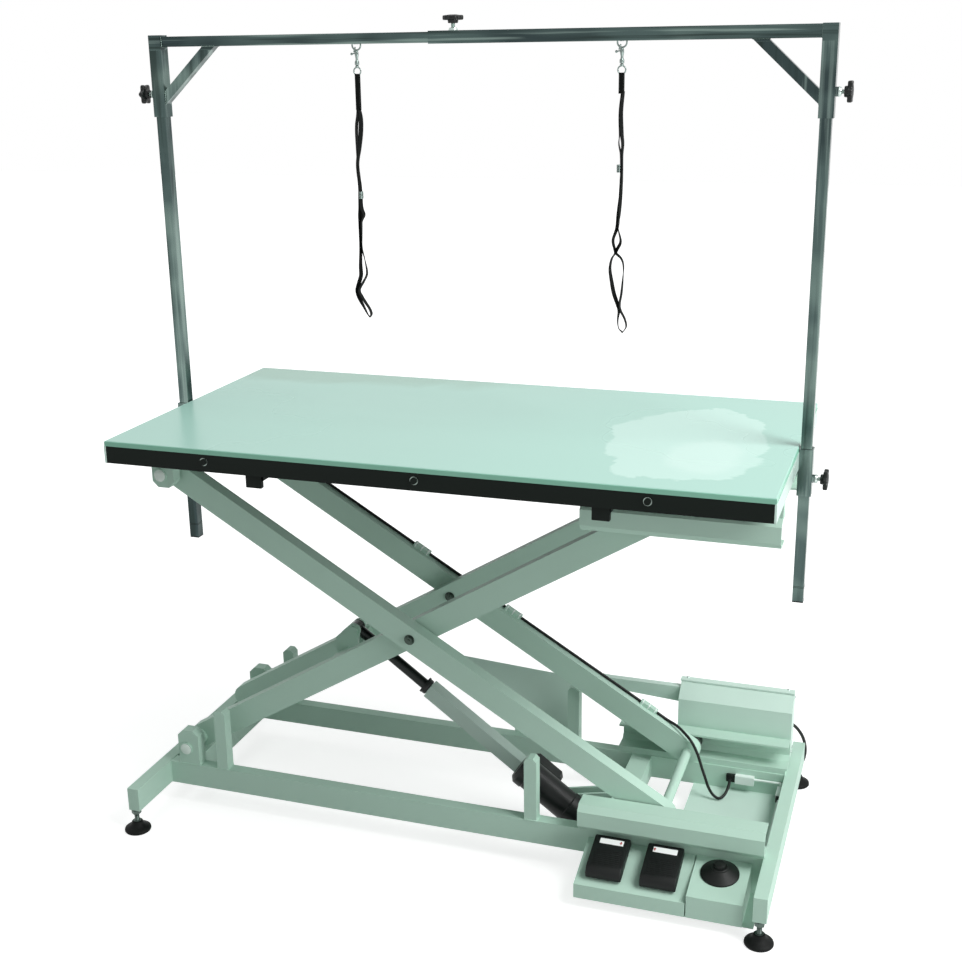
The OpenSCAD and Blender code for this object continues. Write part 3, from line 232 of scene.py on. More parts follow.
# Scuffs: thin broken marks, as a mask
scuffs, given, result = shader_group(
    "scuffs",
    [("Vector", "Vector", (0, 0, 0)), ("Scale", "Float", 30.0), ("Amount", "Float", 0.5)],
    [("Mask", "Float")])
marks = add_node(scuffs, "ShaderNodeTexNoise", {"Detail": 8.0, "Roughness": 0.75, "Distortion": 1.6},
                 {"Vector": given["Vector"], "Scale": given["Scale"]})
scuffs.links.new(maths(scuffs, "MULTIPLY", ramp(scuffs, marks.outputs["Fac"], 0.66, 0.74), given["Amount"]),
                 result["Mask"])

# The two colour inputs of a Mix node
mix_below, mix_over = 6, 7


def laid_over(tree, below, code, mask):
    """A colour with one more laid over it where the mask is one."""
    over = add_node(tree, "ShaderNodeMix", {"data_type": "RGBA"}, {"Factor": mask, mix_below: below})
    over.inputs[mix_over].default_value = colour(code)
    return over.outputs[2]


def finish_of(name, code, rough, tones, peels, worn, metal=0.0, coat=0.0, shine=0.5, specks=0.03,
              worn_scale=26.0):
    """A surface of one base colour: its lowest and highest roughness, the scale and amount of its
    light and dark, the scale and height of its ripple, and the amount and colour of its scuffs."""
    made = bpy.data.materials.new(name)
    made.use_nodes = True
    tree = made.node_tree
    bsdf = tree.nodes["Principled BSDF"]
    bsdf.inputs["Metallic"].default_value = metal
    bsdf.inputs["Coat Weight"].default_value = coat
    bsdf.inputs["Coat Roughness"].default_value = 0.12
    bsdf.inputs["Specular IOR Level"].default_value = shine
    where = own_axes(tree)
    toned = add_node(tree, "ShaderNodeGroup", {"node_tree": tone})
    marks = add_node(tree, "ShaderNodeGroup", {"node_tree": scuffs})
    ripple = add_node(tree, "ShaderNodeGroup", {"node_tree": peel})
    for group, values in (
            (toned, {"Color": colour(code), "Scale": tones[0], "Amount": tones[1], "Specks": specks}),
            (marks, {"Scale": worn_scale, "Amount": worn[0]}), (ripple, {"Scale": peels[0]})):
        tree.links.new(where, group.inputs["Vector"])
        for key, value in values.items():
            group.inputs[key].default_value = value
    scuffed = laid_over(tree, toned.outputs["Color"], worn[1], marks.outputs["Mask"])
    tree.links.new(scuffed, bsdf.inputs["Base Color"])
    tree.links.new(ramp(tree, toned.outputs["Value"], 0.3, 0.7, *rough), bsdf.inputs["Roughness"])
    bump = add_node(tree, "ShaderNodeBump", {"Strength": peels[1], "Distance": 0.001},
                    {"Height": ripple.outputs["Height"]})
    tree.links.new(bump.outputs[0], bsdf.inputs["Normal"])
    return made


soft_flex = finish_of("flex_sheath", "111614", (0.34, 0.5), (25, 0.25), (1800, 0.06), (0.3, "323A37"),
                      shine=0.25)


def smooth_route(route, steps):
    points = []
    last = len(route) - 1
    for i in range(last):
        a, b, c, d = (Vector(route[j]) for j in (max(i - 1, 0), i, i + 1, min(i + 2, last)))
        for k in range(steps):
            t = k / steps
            points.append(0.5 * (2 * b + (c - a) * t + (2 * a - 5 * b + 4 * c - d) * t * t
                                 + (3 * b - a - 3 * c + d) * t * t * t))
    points.append(Vector(route[last]))
    return points


def flex(name, points, radius, sides=5):
    data = bpy.data.curves.new(name, "CURVE")
    data.dimensions = "3D"
    data.bevel_depth = radius
    data.bevel_resolution = sides
    data.use_fill_caps = True
    data.twist_mode = "MINIMUM"
    line = data.splines.new("POLY")
    line.points.add(len(points) - 1)
    for point, place in zip(line.points, points):
        point.co = (place[0] * mm, place[1] * mm, place[2] * mm, 1)
    line.use_smooth = True
    line_piece = bpy.data.objects.new(name, data)
    scene.collection.objects.link(line_piece)
    bpy.context.view_layer.update()
    graph = bpy.context.evaluated_depsgraph_get()
    mesh = bpy.data.meshes.new_from_object(line_piece.evaluated_get(graph))
    bpy.data.objects.remove(line_piece)
    mesh.materials.clear()
    mesh.materials.append(soft_flex)
    mesh.shade_smooth()
    piece = bpy.data.objects.new(name, mesh)
    scene.collection.objects.link(piece)
    return piece


lead_route = [
    (600, 244.4, 162), (600, 254, 162), (602.5, 265, 160.5), (608, 276, 156), (616, 286, 148),
    (624, 295, 137), (631, 303, 124), (637, 311, 109), (641, 319, 92), (643, 327, 73),
    (642, 335, 53), (638, 344, 34), (630, 353, 18.5), (619, 362, 8.5), (605, 370, 4.5),
    (589, 376, 4), (572, 380.5, 4), (554, 384, 4), (537, 386.5, 4)]
lead_width = 7.0
coil_centre = (500, 334)
coil_radius = 54.0
coil_pitch = 8.4
coil_turns = 3
coil_climb = 0.5
coil_floor = 4.0
route_steps = 4
coil_steps = 32


def coil_point(t):
    """A place on the coil after t turns: inwards on the floor, a climb, and outwards on top."""
    if t < coil_turns:
        r = coil_radius - coil_pitch * t
    elif t < coil_turns + coil_climb:
        r = coil_radius - coil_pitch * coil_turns
    else:
        r = coil_radius - coil_pitch * (2 * coil_turns + coil_climb - t)
    z = coil_floor + coil_pitch * min(1, max(0, (t - coil_turns) / coil_climb))
    a = 2 * math.pi * t + math.pi / 2
    return Vector((coil_centre[0] + r * math.cos(a), coil_centre[1] + r * math.sin(a), z))


coil_end = 2 * coil_turns + coil_climb
lead_meet = coil_point(0) + Vector((lead_width, 0, 0))
lead_last = [tuple(lead_meet + Vector((2 * lead_width, 0, 0))), tuple(lead_meet)]
lead_line = smooth_route(lead_route + lead_last, route_steps)
coil_line = [coil_point(k / coil_steps) for k in range(int(coil_steps * coil_end) + 1)]
plug_start = coil_point(coil_end) + Vector((lead_width, 0, 0))
mains_line = lead_line + coil_line + [plug_start]
mains_cord = flex("mains_cord", mains_line, lead_width / 2 * mm)
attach(mains_cord, "base")
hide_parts("mains_lead", "mains_coil")

# Light cable. A thin flex that hangs in one bend from the last clip on the far outer arm
# to an elbow on the far rail.
light_route = [
    (349, 138, 208.5), (371.5, 137.2, 195.1), (394, 131, 187), (414, 121, 176), (430, 112, 163),
    (443, 107, 141), (453, 103, 115), (462, 99, 93), (470, 96, 74), (480, 94, 60),
    (492, 93, 54), (501, 101, 57), (506, 114, 64), (508, 128, 72), (507, 140, 77)]
light_width = 6.0
light_line = smooth_route(light_route, route_steps)
light_flex = flex("light_flex", light_line, light_width / 2 * mm, 4)
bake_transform(light_flex)
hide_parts("light_cable")


# Painted frame. The base, the scissor and the folded tracks are welded steel tube and
# sheet with one pale powder coat: satin, faintly orange-peeled, a little dull in places.
frame_paint = finish_of("frame_paint", "B7D5C6", (0.44, 0.58), (3, 0.16), (520, 0.1), (0.35, "98B3A6"),
                        shine=0.2)
# The plates, cable duct and control box take a paler copy of the frame paint: painted light, standing for the
# light these sheets catch
sheet_paint_with_painted_light = finish_of("sheet_paint_with_painted_light", "C8E0D5", (0.36, 0.5), (4, 0.22), (520, 0.1), (0.3, "A9C2B6"),
                        shine=0.3)


def dress(finish, *names):
    for name in names:
        for slot in nodes[name].material_slots:
            slot.material = finish


dress(frame_paint, "base_cross_tubes", "base_rails", "base_inner_tubes", "rail_posts", "lower_pins",
      "tracks_low", "pedal_panel", "inner_arm_near", "inner_arm_far", "inner_cross", "inner_shafts",
      "outer_arm_near", "outer_arm_far", "outer_shaft", "top_bearers", "tracks_up", "upper_ears")
dress(sheet_paint_with_painted_light, "base_plates", "cable_duct", "control_box", "control_lid")
dress(soft_flex, "arm_cable", "mains_plug")

# Welds. Where a tube or an ear meets another, a bead of short overlapping waves runs
# along the joint, laid by hand and painted over with the frame.
random.seed(7)
to_metres = Matrix.Diagonal((mm, mm, mm, 1))


def new_verts(bm, known):
    return [v for v in bm.verts if v not in known]


def moved(bm, matrix, verts=None):
    """Moves the vertices named, or all of them."""
    bmesh.ops.transform(bm, matrix=matrix, verts=verts or bm.verts[:])


def piece_of(name, bm, finish, body, stands_for=(), smooth=True):
    mesh = bpy.data.meshes.new(name)
    bm.to_mesh(mesh)
    bm.free()
    mesh.materials.append(finish)
    piece = bpy.data.objects.new(name, mesh)
    scene.collection.objects.link(piece)
    if smooth:
        mesh.shade_smooth()
        mesh.set_sharp_from_angle(angle=math.radians(38))
    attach(piece, body)
    if stands_for:
        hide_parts(*stands_for)
    return piece


def weld(bm, a, b, radius=1.7):
    """A bead of overlapping waves between two points in mm."""
    a, b = Vector(a), Vector(b)
    count = max(2, int((b - a).length / (radius * 1.25)))
    along = (b - a).normalized()
    turn = along.to_track_quat("X", "Z").to_matrix().to_4x4()
    for k in range(count + 1):
        known = set(bm.verts)
        bmesh.ops.create_icosphere(bm, subdivisions=1, radius=radius * random.uniform(0.9, 1.12))
        place = a.lerp(b, k / count) + Vector([random.uniform(-0.15, 0.15) for _ in range(3)])
        moved(bm, to_metres @ Matrix.Translation(place) @ turn, new_verts(bm, known))


base_welds = bmesh.new()
rail_low, rail_high = 48, 98
rail_inner, rail_outer = 150, 175
rail_faces = (rail_inner, rail_outer)
for side in (-1, 1):
    for x in (-640.5, 618.5):
        for y in rail_faces:
            weld(base_welds, (x, side * y, rail_low + 1), (x, side * y, rail_high))
        weld(base_welds, (x, side * rail_inner, rail_high), (x, side * rail_outer, rail_high))
    inner, outer = side * (rail_inner + 1), side * (rail_outer - 1)
    for x in (-527, -502, 152, 177):
        weld(base_welds, (x, inner, rail_high), (x, outer, rail_high))
    for y in rail_faces:
        for start, end in ((-526, -503), (153, 176), (-616, -570)):
            weld(base_welds, (start, side * y, rail_high), (end, side * y, rail_high))
    weld(base_welds, (-569, inner, rail_high), (-569, outer, rail_high))
    for x in (-613.5, -588.5, 297, 338):
        weld(base_welds, (x, side * rail_inner, rail_low + 1), (x, side * rail_inner, rail_high))
    for x in (290, 390, 490, 590):
        weld(base_welds, (x - 12, side * rail_outer, rail_high + 1),
             (x + 12, side * rail_outer, rail_high + 1))
piece_of("base_weld_beads", base_welds, frame_paint, "base")


# Feet. Each is a moulded black pad on a threaded steel stem, with a lock nut that is run
# up against the underside of the cross tube.
def facing(axis):
    return Vector(axis).to_track_quat("Z", "Y").to_matrix().to_4x4()


def rounded(bm, edges, offset, segments):
    bmesh.ops.bevel(bm, geom=edges, offset=offset, segments=segments, affect="EDGES", profile=0.5,
                    material=-1)


def turned(bm, profile, place, axis=(0, 0, 1), steps=32):
    """A profile of (radius, height) in mm, spun about an axis through place."""
    ring = [bm.verts.new((r, 0, h)) for r, h in profile]
    closed = profile[0][0] > 0 and profile[-1][0] > 0
    edges = [bm.edges.new(pair) for pair in zip(ring, ring[1:] + ring[:1] if closed else ring[1:])]
    known = set(bm.verts) - set(ring)
    bmesh.ops.spin(bm, geom=ring + edges, cent=(0, 0, 0), axis=(0, 0, 1), angle=2 * math.pi, steps=steps,
                   use_merge=True, use_duplicate=False)
    bmesh.ops.remove_doubles(bm, verts=new_verts(bm, known), dist=1e-4)
    made = new_verts(bm, known)
    moved(bm, to_metres @ Matrix.Translation(place) @ facing(axis), made)
    faces = {f for v in made for f in v.link_faces}
    bmesh.ops.recalc_face_normals(bm, faces=list(faces))
    return made


def many_sided(bm, sides, radius, height, place, axis=(0, 0, 1), bevel=0.0):
    """A prism such as a nut, its middle hollow left to the stem that fills it."""
    known = set(bm.verts)
    bmesh.ops.create_cone(bm, cap_ends=True, segments=sides, radius1=radius, radius2=radius, depth=height)
    made = new_verts(bm, known)
    if bevel:
        edges = {e for v in made for e in v.link_edges if abs(e.verts[0].co.z - e.verts[1].co.z) < 1e-6}
        rounded(bm, list(edges), bevel, 2)
        made = new_verts(bm, known)
    seated = Matrix.Translation(place) @ facing(axis) @ Matrix.Translation((0, 0, height / 2))
    moved(bm, to_metres @ seated, made)
    return made


foot_black = finish_of("foot_rubber", "0A0D0C", (0.5, 0.7), (20, 0.3), (1300, 0.2), (0.5, "39403D"),
                       shine=0.15)
stem_steel = finish_of("stem_steel", "56625D", (0.22, 0.4), (60, 0.4), (1400, 0.06), (0.4, "2A322F"),
                       metal=1.0)
thread_pitch = 1.5
for corner, x, y in (("front_left", -653, -298), ("back_left", -653, 298),
                     ("front_right", 631, -298), ("back_right", 631, 298)):
    name = "foot_" + corner
    pad = bmesh.new()
    turned(pad, [(0, 0), (23.5, 0), (26, 0.6), (27, 2.2), (27, 4.6), (26.2, 6.6), (24, 8.2), (19, 10.2),
                 (14.5, 13.2), (12.4, 16.5), (11.4, 20.4), (10.6, 21.6), (5.4, 22), (0, 22)],
           (x, y, 0), steps=40)
    piece_of(name + "_pad", pad, foot_black, name, (name,))
    stem = bmesh.new()
    thread = [(0, 21.5), (4.2, 21.5)]
    for k in range(30):
        thread += [(5.0, 22.3 + thread_pitch * k), (4.3, 23.05 + thread_pitch * k)]
    thread += [(4.3, 68), (0, 70)]
    turned(stem, thread, (x, y, 0), steps=24)
    many_sided(stem, 6, 10, 8.4, (x, y, 39.2), bevel=0.7)
    turned(stem, [(5.2, 22.2), (8.2, 22.2), (8.2, 23.6), (5.2, 23.6)], (x, y, 0), steps=24)
    piece_of(name + "_stem", stem, stem_steel, name)

# Pivot pins and bolts. The lower and upper pins have pale domed heads outside the ears;
# the centre bolts have small dark hexagon heads on washers, with nuts at the inside. The
# dark washers are partly painted shade, standing for the shadow in the bolt holes.
arm_reach, arm_rise = 1016, 611
arm_angle = math.atan2(arm_rise, arm_reach)
pivot_x, low_pivot, high_pivot = -598, 134, 745
roller_x = pivot_x + arm_reach
centre = Vector((pivot_x + arm_reach / 2, 0, low_pivot + arm_rise / 2))
head_face, nut_face = 149.3, 84.4
low_heads, high_heads, mid_bolts = bmesh.new(), bmesh.new(), bmesh.new()
for side in (-1, 1):
    head = [(0, 0), (13.6, 0), (14, 0.6), (13.6, 2.4), (12, 4.1), (9, 5.3), (5, 6.0), (0, 6.2)]
    turned(low_heads, head, (pivot_x, side * rail_outer, low_pivot), (0, side, 0), 40)
    turned(high_heads, head, (pivot_x, side * 185, high_pivot), (0, side, 0), 40)
    for face, way in ((side * head_face, side), (side * nut_face, -side)):
        # Dark washer rings: real washers, darkened as painted shade for the shadow in the bolt holes
        washer_and_hole_shade = [(0, 0), (10.6, 0), (10.8, 0.3), (10.6, 0.8), (0, 0.8)]
        turned(mid_bolts, washer_and_hole_shade, (centre.x, face, centre.z), (0, way, 0), 36)
        many_sided(mid_bolts, 6, 8.6, 5.0, (centre.x, face + way * 0.6, centre.z), (0, way, 0), bevel=0.8)
        turned(mid_bolts, [(0, 0), (3.8, 0), (3.8, 2.2), (3.0, 2.8), (0, 2.9)],
               (centre.x, face + way * 5.2, centre.z), (0, way, 0), 20)
    shank = [(0, 84), (7.8, 84), (7.8, 149.8), (0, 149.8)]
    turned(mid_bolts, shank, (centre.x, 0, centre.z), (0, side, 0), 24)
pin_pale = finish_of("pin_pale", "DDECE4", (0.24, 0.36), (30, 0.15), (500, 0.04), (0.3, "A9BAB1"), coat=0.2)
bolt_dark = finish_of("bolt_dark", "3C4A42", (0.3, 0.45), (60, 0.5), (1400, 0.08), (0.6, "8FA097"), metal=0.7)
piece_of("lower_pin_heads", low_heads, pin_pale, "base")
piece_of("upper_pin_heads", high_heads, pin_pale, "table")
piece_of("centre_bolt_sets", mid_bolts, bolt_dark, "inner_frame", ("centre_bolts",))

# Rollers. Black nylon wheels with a dished face, held on their shafts by spring clips.
zinc = finish_of("bright_zinc", "B9C6C1", (0.16, 0.34), (30, 0.3), (1400, 0.06), (0.2, "6E7B75"), metal=1.0)
roller_black = finish_of("roller_nylon", "171D1B", (0.34, 0.5), (18, 0.3), (700, 0.08), (0.5, "3C4441"))
dress(roller_black, "rollers_low", "rollers_up")
for name, z, body in (("low", low_pivot, "outer_frame"), ("up", high_pivot, "inner_frame")):
    clips = bmesh.new()
    for side in (-1, 1):
        clip = [(8.0, 184.2), (12.4, 184.2), (12.4, 184.9), (8.0, 184.9)]
        turned(clips, clip, (roller_x, 0, z), (0, side, 0), 28)
    piece_of("roller_clips_" + name, clips, zinc, body)

# Foot switches. Two black rubber pedals and a round push switch are screwed to a folded
# panel that leans up to the rail, with generic arrows on their small plates.
pedal_rubber = finish_of("pedal_rubber", "0B0F0E", (0.42, 0.6), (22, 0.35), (1500, 0.22), (0.35, "2B3230"),
                         shine=0.25)
plate_white = finish_of("plate_white", "F2F4F3", (0.3, 0.4), (40, 0.05), (500, 0.02), (0.3, "C9CFCC"))
arrow_red = finish_of("arrow_red", "B4474A", (0.35, 0.45), (60, 0.1), (500, 0.02), (0.1, "8E3A3C"))
bare_black = finish_of("black_moulding", "0C100E", (0.36, 0.55), (14, 0.3), (900, 0.16), (0.3, "2E3634"),
                       shine=0.25)
dress(bare_black, "switch_bodies", "switch_button")
panel_y, panel_z = -289, 21
panel_slope = math.atan2(33, 113)
pedal_high = 29
switch_slope = math.radians(9)
switch_high = 45
switch_x = 495


def slab(bm, a, b, bevel=0.0, segments=2):
    """A bevelled block between two corners in mm."""
    known = set(bm.verts)
    bmesh.ops.create_cube(bm, size=1.0)
    made = new_verts(bm, known)
    size = Vector(b) - Vector(a)
    middle = (Vector(a) + Vector(b)) / 2
    moved(bm, Matrix.Translation(middle) @ Matrix.Diagonal((*size, 1)), made)
    if bevel:
        edges = list({e for v in made for e in v.link_edges})
        rounded(bm, edges, bevel, segments)
        made = new_verts(bm, known)
    moved(bm, to_metres, made)
    return made


def on_slope(bm, made, x, high, slope):
    """Moves what was made from the panel's own axes: x along its front, y up the slope, z off it."""
    place = Matrix.Translation((x * mm, panel_y * mm, (panel_z + high) * mm)) @ Matrix.Rotation(slope, 4, "X")
    moved(bm, place, made)


def drawn_out(bm, outline, reach):
    """Makes a solid of a flat outline, reach being its depth."""
    grown = bmesh.ops.extrude_face_region(bm, geom=[bm.faces.new([bm.verts.new(point) for point in outline])])
    bmesh.ops.translate(bm, vec=reach, verts=[g for g in grown["geom"] if isinstance(g, bmesh.types.BMVert)])
    bmesh.ops.recalc_face_normals(bm, faces=bm.faces[:])


for name, x, arrow_at, way in (("pedal_down", 302, 52, -1), ("pedal_up", 405, 14, 1)):
    pedal = bmesh.new()
    profile = [(16, 6.5), (16, 15), (20, 20), (27, 25), (34, 25.4), (104, 25.4), (108, 23), (110, 20),
               (110, 6.5)]
    drawn_out(pedal, [(0, u, n) for u, n in profile], (68, 0, 0))
    rim = [e for e in pedal.edges
           if abs(e.verts[0].co.x - e.verts[1].co.x) < 0.1 and e.verts[0].co.z + e.verts[1].co.z > 20]
    rounded(pedal, rim, 2.4, 3)
    moved(pedal, to_metres)
    grips = bmesh.new()
    for k in range(9):
        slab(grips, (8, 34 + 4.6 * k, 25.0), (60, 36.2 + 4.6 * k, 26.1), 0.4, 1)
    slab(grips, (5, 17.2, 9), (63, 18.4, 10.4), 0.3, 1)
    on_slope(pedal, pedal.verts[:], x, pedal_high, panel_slope)
    on_slope(grips, grips.verts[:], x, pedal_high, panel_slope)
    piece_of(name + "_cap", pedal, pedal_rubber, name, (name,))
    piece_of(name + "_ribs", grips, pedal_rubber, name)
    plate = bmesh.new()
    slab(plate, (12, 86, 25.2), (58, 99, 26.0), 0.35, 1)
    on_slope(plate, plate.verts[:], x, pedal_high, panel_slope)
    piece_of(name + "_plate", plate, plate_white, name)
    arrow = bmesh.new()
    outline = [(-1.2, -3.6), (1.2, -3.6), (1.2, 0), (3, 0), (0, 3.8), (-3, 0), (-1.2, 0)]
    drawn_out(arrow, [(arrow_at + 1 + a, 92.5 + way * b, 26.0) for a, b in outline], (0, 0, 0.3))
    moved(arrow, to_metres)
    on_slope(arrow, arrow.verts[:], x, pedal_high, panel_slope)
    piece_of(name + "_arrow", arrow, arrow_red, name, smooth=False)

dome = bmesh.new()
made = turned(dome, [(10.8, 17.9), (13.4, 18.3), (15, 17.2), (15.6, 15.2), (18, 13.8), (26, 9.4), (33, 4.6),
                     (35.6, 2.2), (36, 0.2), (34, 0.1), (10.8, 0.1)], (50, 73, 0), steps=56)
made += turned(dome, [(0, 0), (2.6, 0), (2.6, 3.5), (2.2, 4.1), (0, 4.3)], (30, 47.5, 0), steps=16)
on_slope(dome, made, switch_x, switch_high, switch_slope)
piece_of("switch_dome_skin", dome, bare_black, "base")
button = bmesh.new()
made = turned(button, [(0, 5), (10.2, 5), (10.4, 22.6), (9.6, 24.4), (8.2, 24.9), (0, 25)], (50, 73, 0),
              steps=40)
on_slope(button, made, switch_x, switch_high, switch_slope)
piece_of("switch_button_cap", button, bare_black, "switch_button", ("switch_button",))

# Control box. A folded steel box with a lid, screwed to the back of the far track; its
# lead comes out through a rubber sleeve in the back.
box_screws = bmesh.new()
for x in (395, 608):
    turned(box_screws, [(0, 0), (3.4, 0), (3.4, 0.8), (2.6, 1.8), (1.2, 2.1), (0, 2.1)], (x, 244, 248),
           (0, 0, 1), 20)
for y, z in ((212, 122), (234, 122), (238, 236)):
    turned(box_screws, [(0, 0), (3.2, 0), (3.2, 0.7), (2.4, 1.7), (1.1, 2.0), (0, 2.0)], (622, y, z),
           (1, 0, 0), 20)
piece_of("control_box_screws", box_screws, zinc, "base")
sleeve = bmesh.new()
turned(sleeve, [(3.6, 0), (8.4, 0), (8.6, 1.6), (8.4, 3.0), (6.4, 3.6), (6.0, 8), (5.4, 16), (4.8, 24),
                (4.4, 27), (3.55, 27.4)], (600, 244.4, 162), (0.02, 1, 0), 28)
piece_of("lead_sleeve", sleeve, soft_flex, "base")

# Light cable fittings. White two-part connectors clipped to the far rail and to the
# cross tube, with a pale lead between them, and three pale clips on the far arm.
fitting_white = finish_of("fitting_white", "E4EEEA", (0.3, 0.45), (40, 0.1), (900, 0.05), (0.2, "B5C2BC"))
dress(fitting_white, "light_connectors", "lit_panel")
boots = bmesh.new()
slab(boots, (499, 140, 69), (518.5, 149.8, 85), 1.6, 2)
slab(boots, (607.5, 91, 65), (618.3, 98.5, 77), 1.4, 2)
turned(boots, [(0, 0), (3.4, 0), (4.6, 6), (4.6, 12), (0, 12)], (507, 137, 77), (0, 1, 0), 20)
piece_of("connector_boots", boots, soft_flex, "base")
clips = bmesh.new()
clip_starts = (462, 701, 1048)
for start in clip_starts:
    for s in (start + 3, start + 18.5, start + 34):
        slab(clips, (s, 130.6, 24.9), (s + 3, 145.4, 33.6), 0.5, 1)
tilt = Matrix.Translation((pivot_x * mm, 0, high_pivot * mm)) @ Matrix.Rotation(arm_angle, 4, "Y")
moved(clips, tilt)
piece_of("arm_clip_ribs", clips, fitting_white, "outer_frame")

# Actuator. A dark steel rod in a square painted tube, a black cast gear housing and the
# motor beside it, with an end bell held by long screws.
rod_steel = finish_of("rod_steel", "161C1A", (0.2, 0.34), (12, 0.3), (900, 0.03), (0.2, "5A645F"), metal=0.6)
tube_paint = finish_of("tube_paint", "B4C9C0", (0.3, 0.42), (3, 0.12), (500, 0.05), (0.2, "93A89E"), coat=0.1)
motor_black = finish_of("motor_black", "0D1211", (0.34, 0.5), (16, 0.35), (800, 0.2), (0.3, "333B38"),
                        shine=0.3)
dress(rod_steel, "actuator_rod")
dress(tube_paint, "actuator_tube")
dress(motor_black, "actuator_motor")
eye = Vector((-264.691, -10, 386.955))
eye_tilt = math.radians(36.3689)
in_actuator = Matrix.Translation(eye * mm) @ Matrix.Rotation(eye_tilt, 4, "Y")
fittings = bmesh.new()
turned(fittings, [(11.2, 0), (17.4, 0), (18, 0.8), (18, 4), (16.8, 5), (16.8, 11), (16, 12.4), (14, 13),
                  (14, 22), (11.2, 22)], (186, 0, 0), (1, 0, 0), 36)
for s in (449, 455):
    slab(fittings, (s, -19, -19), (s + 3, 19, 19), 1.0, 2)
moved(fittings, in_actuator)
piece_of("actuator_collar", fittings, motor_black, "actuator_body")
screws = bmesh.new()
motor_y, bell_end, screw_out = -54, 604.5, 22
for z in (52, 8):
    for y in (motor_y + screw_out, motor_y - screw_out):
        turned(screws, [(0, 0), (3.2, 0), (3.2, 1.6), (2.4, 2.4), (0, 2.4)], (bell_end, y, z), (1, 0, 0), 16)
for z in (26, -8):
    for s in (464, 522):
        turned(screws, [(0, 0), (3.0, 0), (3.0, 1.4), (2.2, 2.2), (0, 2.2)], (s, 20, z), (0, 1, 0), 16)
moved(screws, in_actuator)
piece_of("actuator_screws", screws, zinc, "actuator_body")

# Table top. A ground, green-tinted glass plate lies on a lit panel in a folded black
# steel tray. Paler patches at its right and a darker band at its far left are painted
# reflections, and its rim is a deeper green.
top_glass = finish_of("ground_glass", "A2CBBF", (0.22, 0.32), (1.6, 0.06), (240, 0.02), (0.12, "A6CCC0"),
                      shine=0.3, specks=0.012, worn_scale=5)


def colour_over(material, code, mask):
    """Lays one more colour over a finish where the mask is one."""
    base = material.node_tree.nodes["Principled BSDF"].inputs["Base Color"]
    over = laid_over(material.node_tree, base.links[0].from_socket, code, mask)
    material.node_tree.links.new(over, base)


# Reflection patch: an oval patch with a broken edge, as a mask for the painted reflections on the glass
reflection_patch, given, result = shader_group(
    "reflection_patch",
    [("Vector", "Vector", (0, 0, 0)), ("Centre", "Vector", (0, 0, 0)), ("Reach", "Vector", (0.2, 0.2, 1.0)),
     ("Rough", "Float", 0.5), ("Soft", "Float", 0.1)],
    [("Mask", "Float")])
away = add_node(reflection_patch, "ShaderNodeVectorMath", {"operation": "SUBTRACT"},
                {0: given["Vector"], 1: given["Centre"]})
share = add_node(reflection_patch, "ShaderNodeVectorMath", {"operation": "DIVIDE"},
                 {0: away.outputs[0], 1: given["Reach"]})
far_out = add_node(reflection_patch, "ShaderNodeVectorMath", {"operation": "LENGTH"}, {0: share.outputs[0]})
broken = add_node(reflection_patch, "ShaderNodeTexNoise",
                  {"Scale": 7.0, "Detail": 5.0, "Roughness": 0.6, "Distortion": 0.6},
                  {"Vector": given["Vector"]})
shift = maths(reflection_patch, "MULTIPLY", maths(reflection_patch, "SUBTRACT", broken.outputs["Fac"], 0.5), given["Rough"])
inside = add_node(reflection_patch, "ShaderNodeMapRange",
                  {"From Max": 1.0, "To Min": 1.0, "To Max": 0.0, "interpolation_type": "SMOOTHSTEP"},
                  {"Value": maths(reflection_patch, "ADD", far_out.outputs["Value"], shift),
                   "From Min": maths(reflection_patch, "SUBTRACT", 1.0, given["Soft"])})
reflection_patch.links.new(inside.outputs[0], result["Mask"])


def painted_reflection_mask(material, centre, reach, rough, soft):
    tree = material.node_tree
    made = add_node(tree, "ShaderNodeGroup", {"node_tree": reflection_patch}, {"Vector": own_axes(tree)})
    for key, value in (("Centre", centre), ("Reach", reach), ("Rough", rough), ("Soft", soft)):
        made.inputs[key].default_value = value
    return made.outputs["Mask"]


half_wide = 325
glass_high = 0.852
# Painted reflections on the glass: a darker band at the far left and two paler patches at the right
for code, middle, reach, rough, soft in (
        ("97BCAE", (-0.62, 0.36, glass_high), (0.75, 0.17, 9), 0.5, 0.35),
        ("B7D9CF", (0.43, -0.03, glass_high), (0.155, 0.25, 9), 0.75, 0.06),
        ("C0DED5", (0.47, -0.12, glass_high), (0.08, 0.12, 9), 1.0, 0.4)):
    colour_over(top_glass, code, painted_reflection_mask(top_glass, middle, reach, rough, soft))
tree = top_glass.node_tree
rim_parts = add_node(tree, "ShaderNodeSeparateXYZ", {}, {0: own_axes(tree)})
colour_over(top_glass, "86C0A9", ramp(tree, rim_parts.outputs["Z"], 0.8506, 0.8516, 1.0, 0.0))
tray_black = finish_of("tray_black", "0C1410", (0.45, 0.6), (5, 0.35), (600, 0.08), (0.3, "2C3833"),
                       shine=0.12, worn_scale=18)
dress(top_glass, "glass_top")
dress(tray_black, "top_tray")
cross_bars = bmesh.new()
for x in (-329, 329):
    slab(cross_bars, (x - 16, -299.8, 789), (x + 16, 299.8, 808.8), 1.6, 2)
    for near, far in ((-300, -289), (289, 300)):
        slab(cross_bars, (x - 16, near, 777), (x + 16, far, 808.8), 1.4, 2)
piece_of("cross_bars_with_buffers", cross_bars, tray_black, "table", ("cross_bars",))
chrome_bolt = finish_of("bolt_chrome", "808C86", (0.14, 0.3), (60, 0.2), (500, 0.02), (0.1, "8A9691"),
                        metal=1.0)
edge_bolts = bmesh.new()
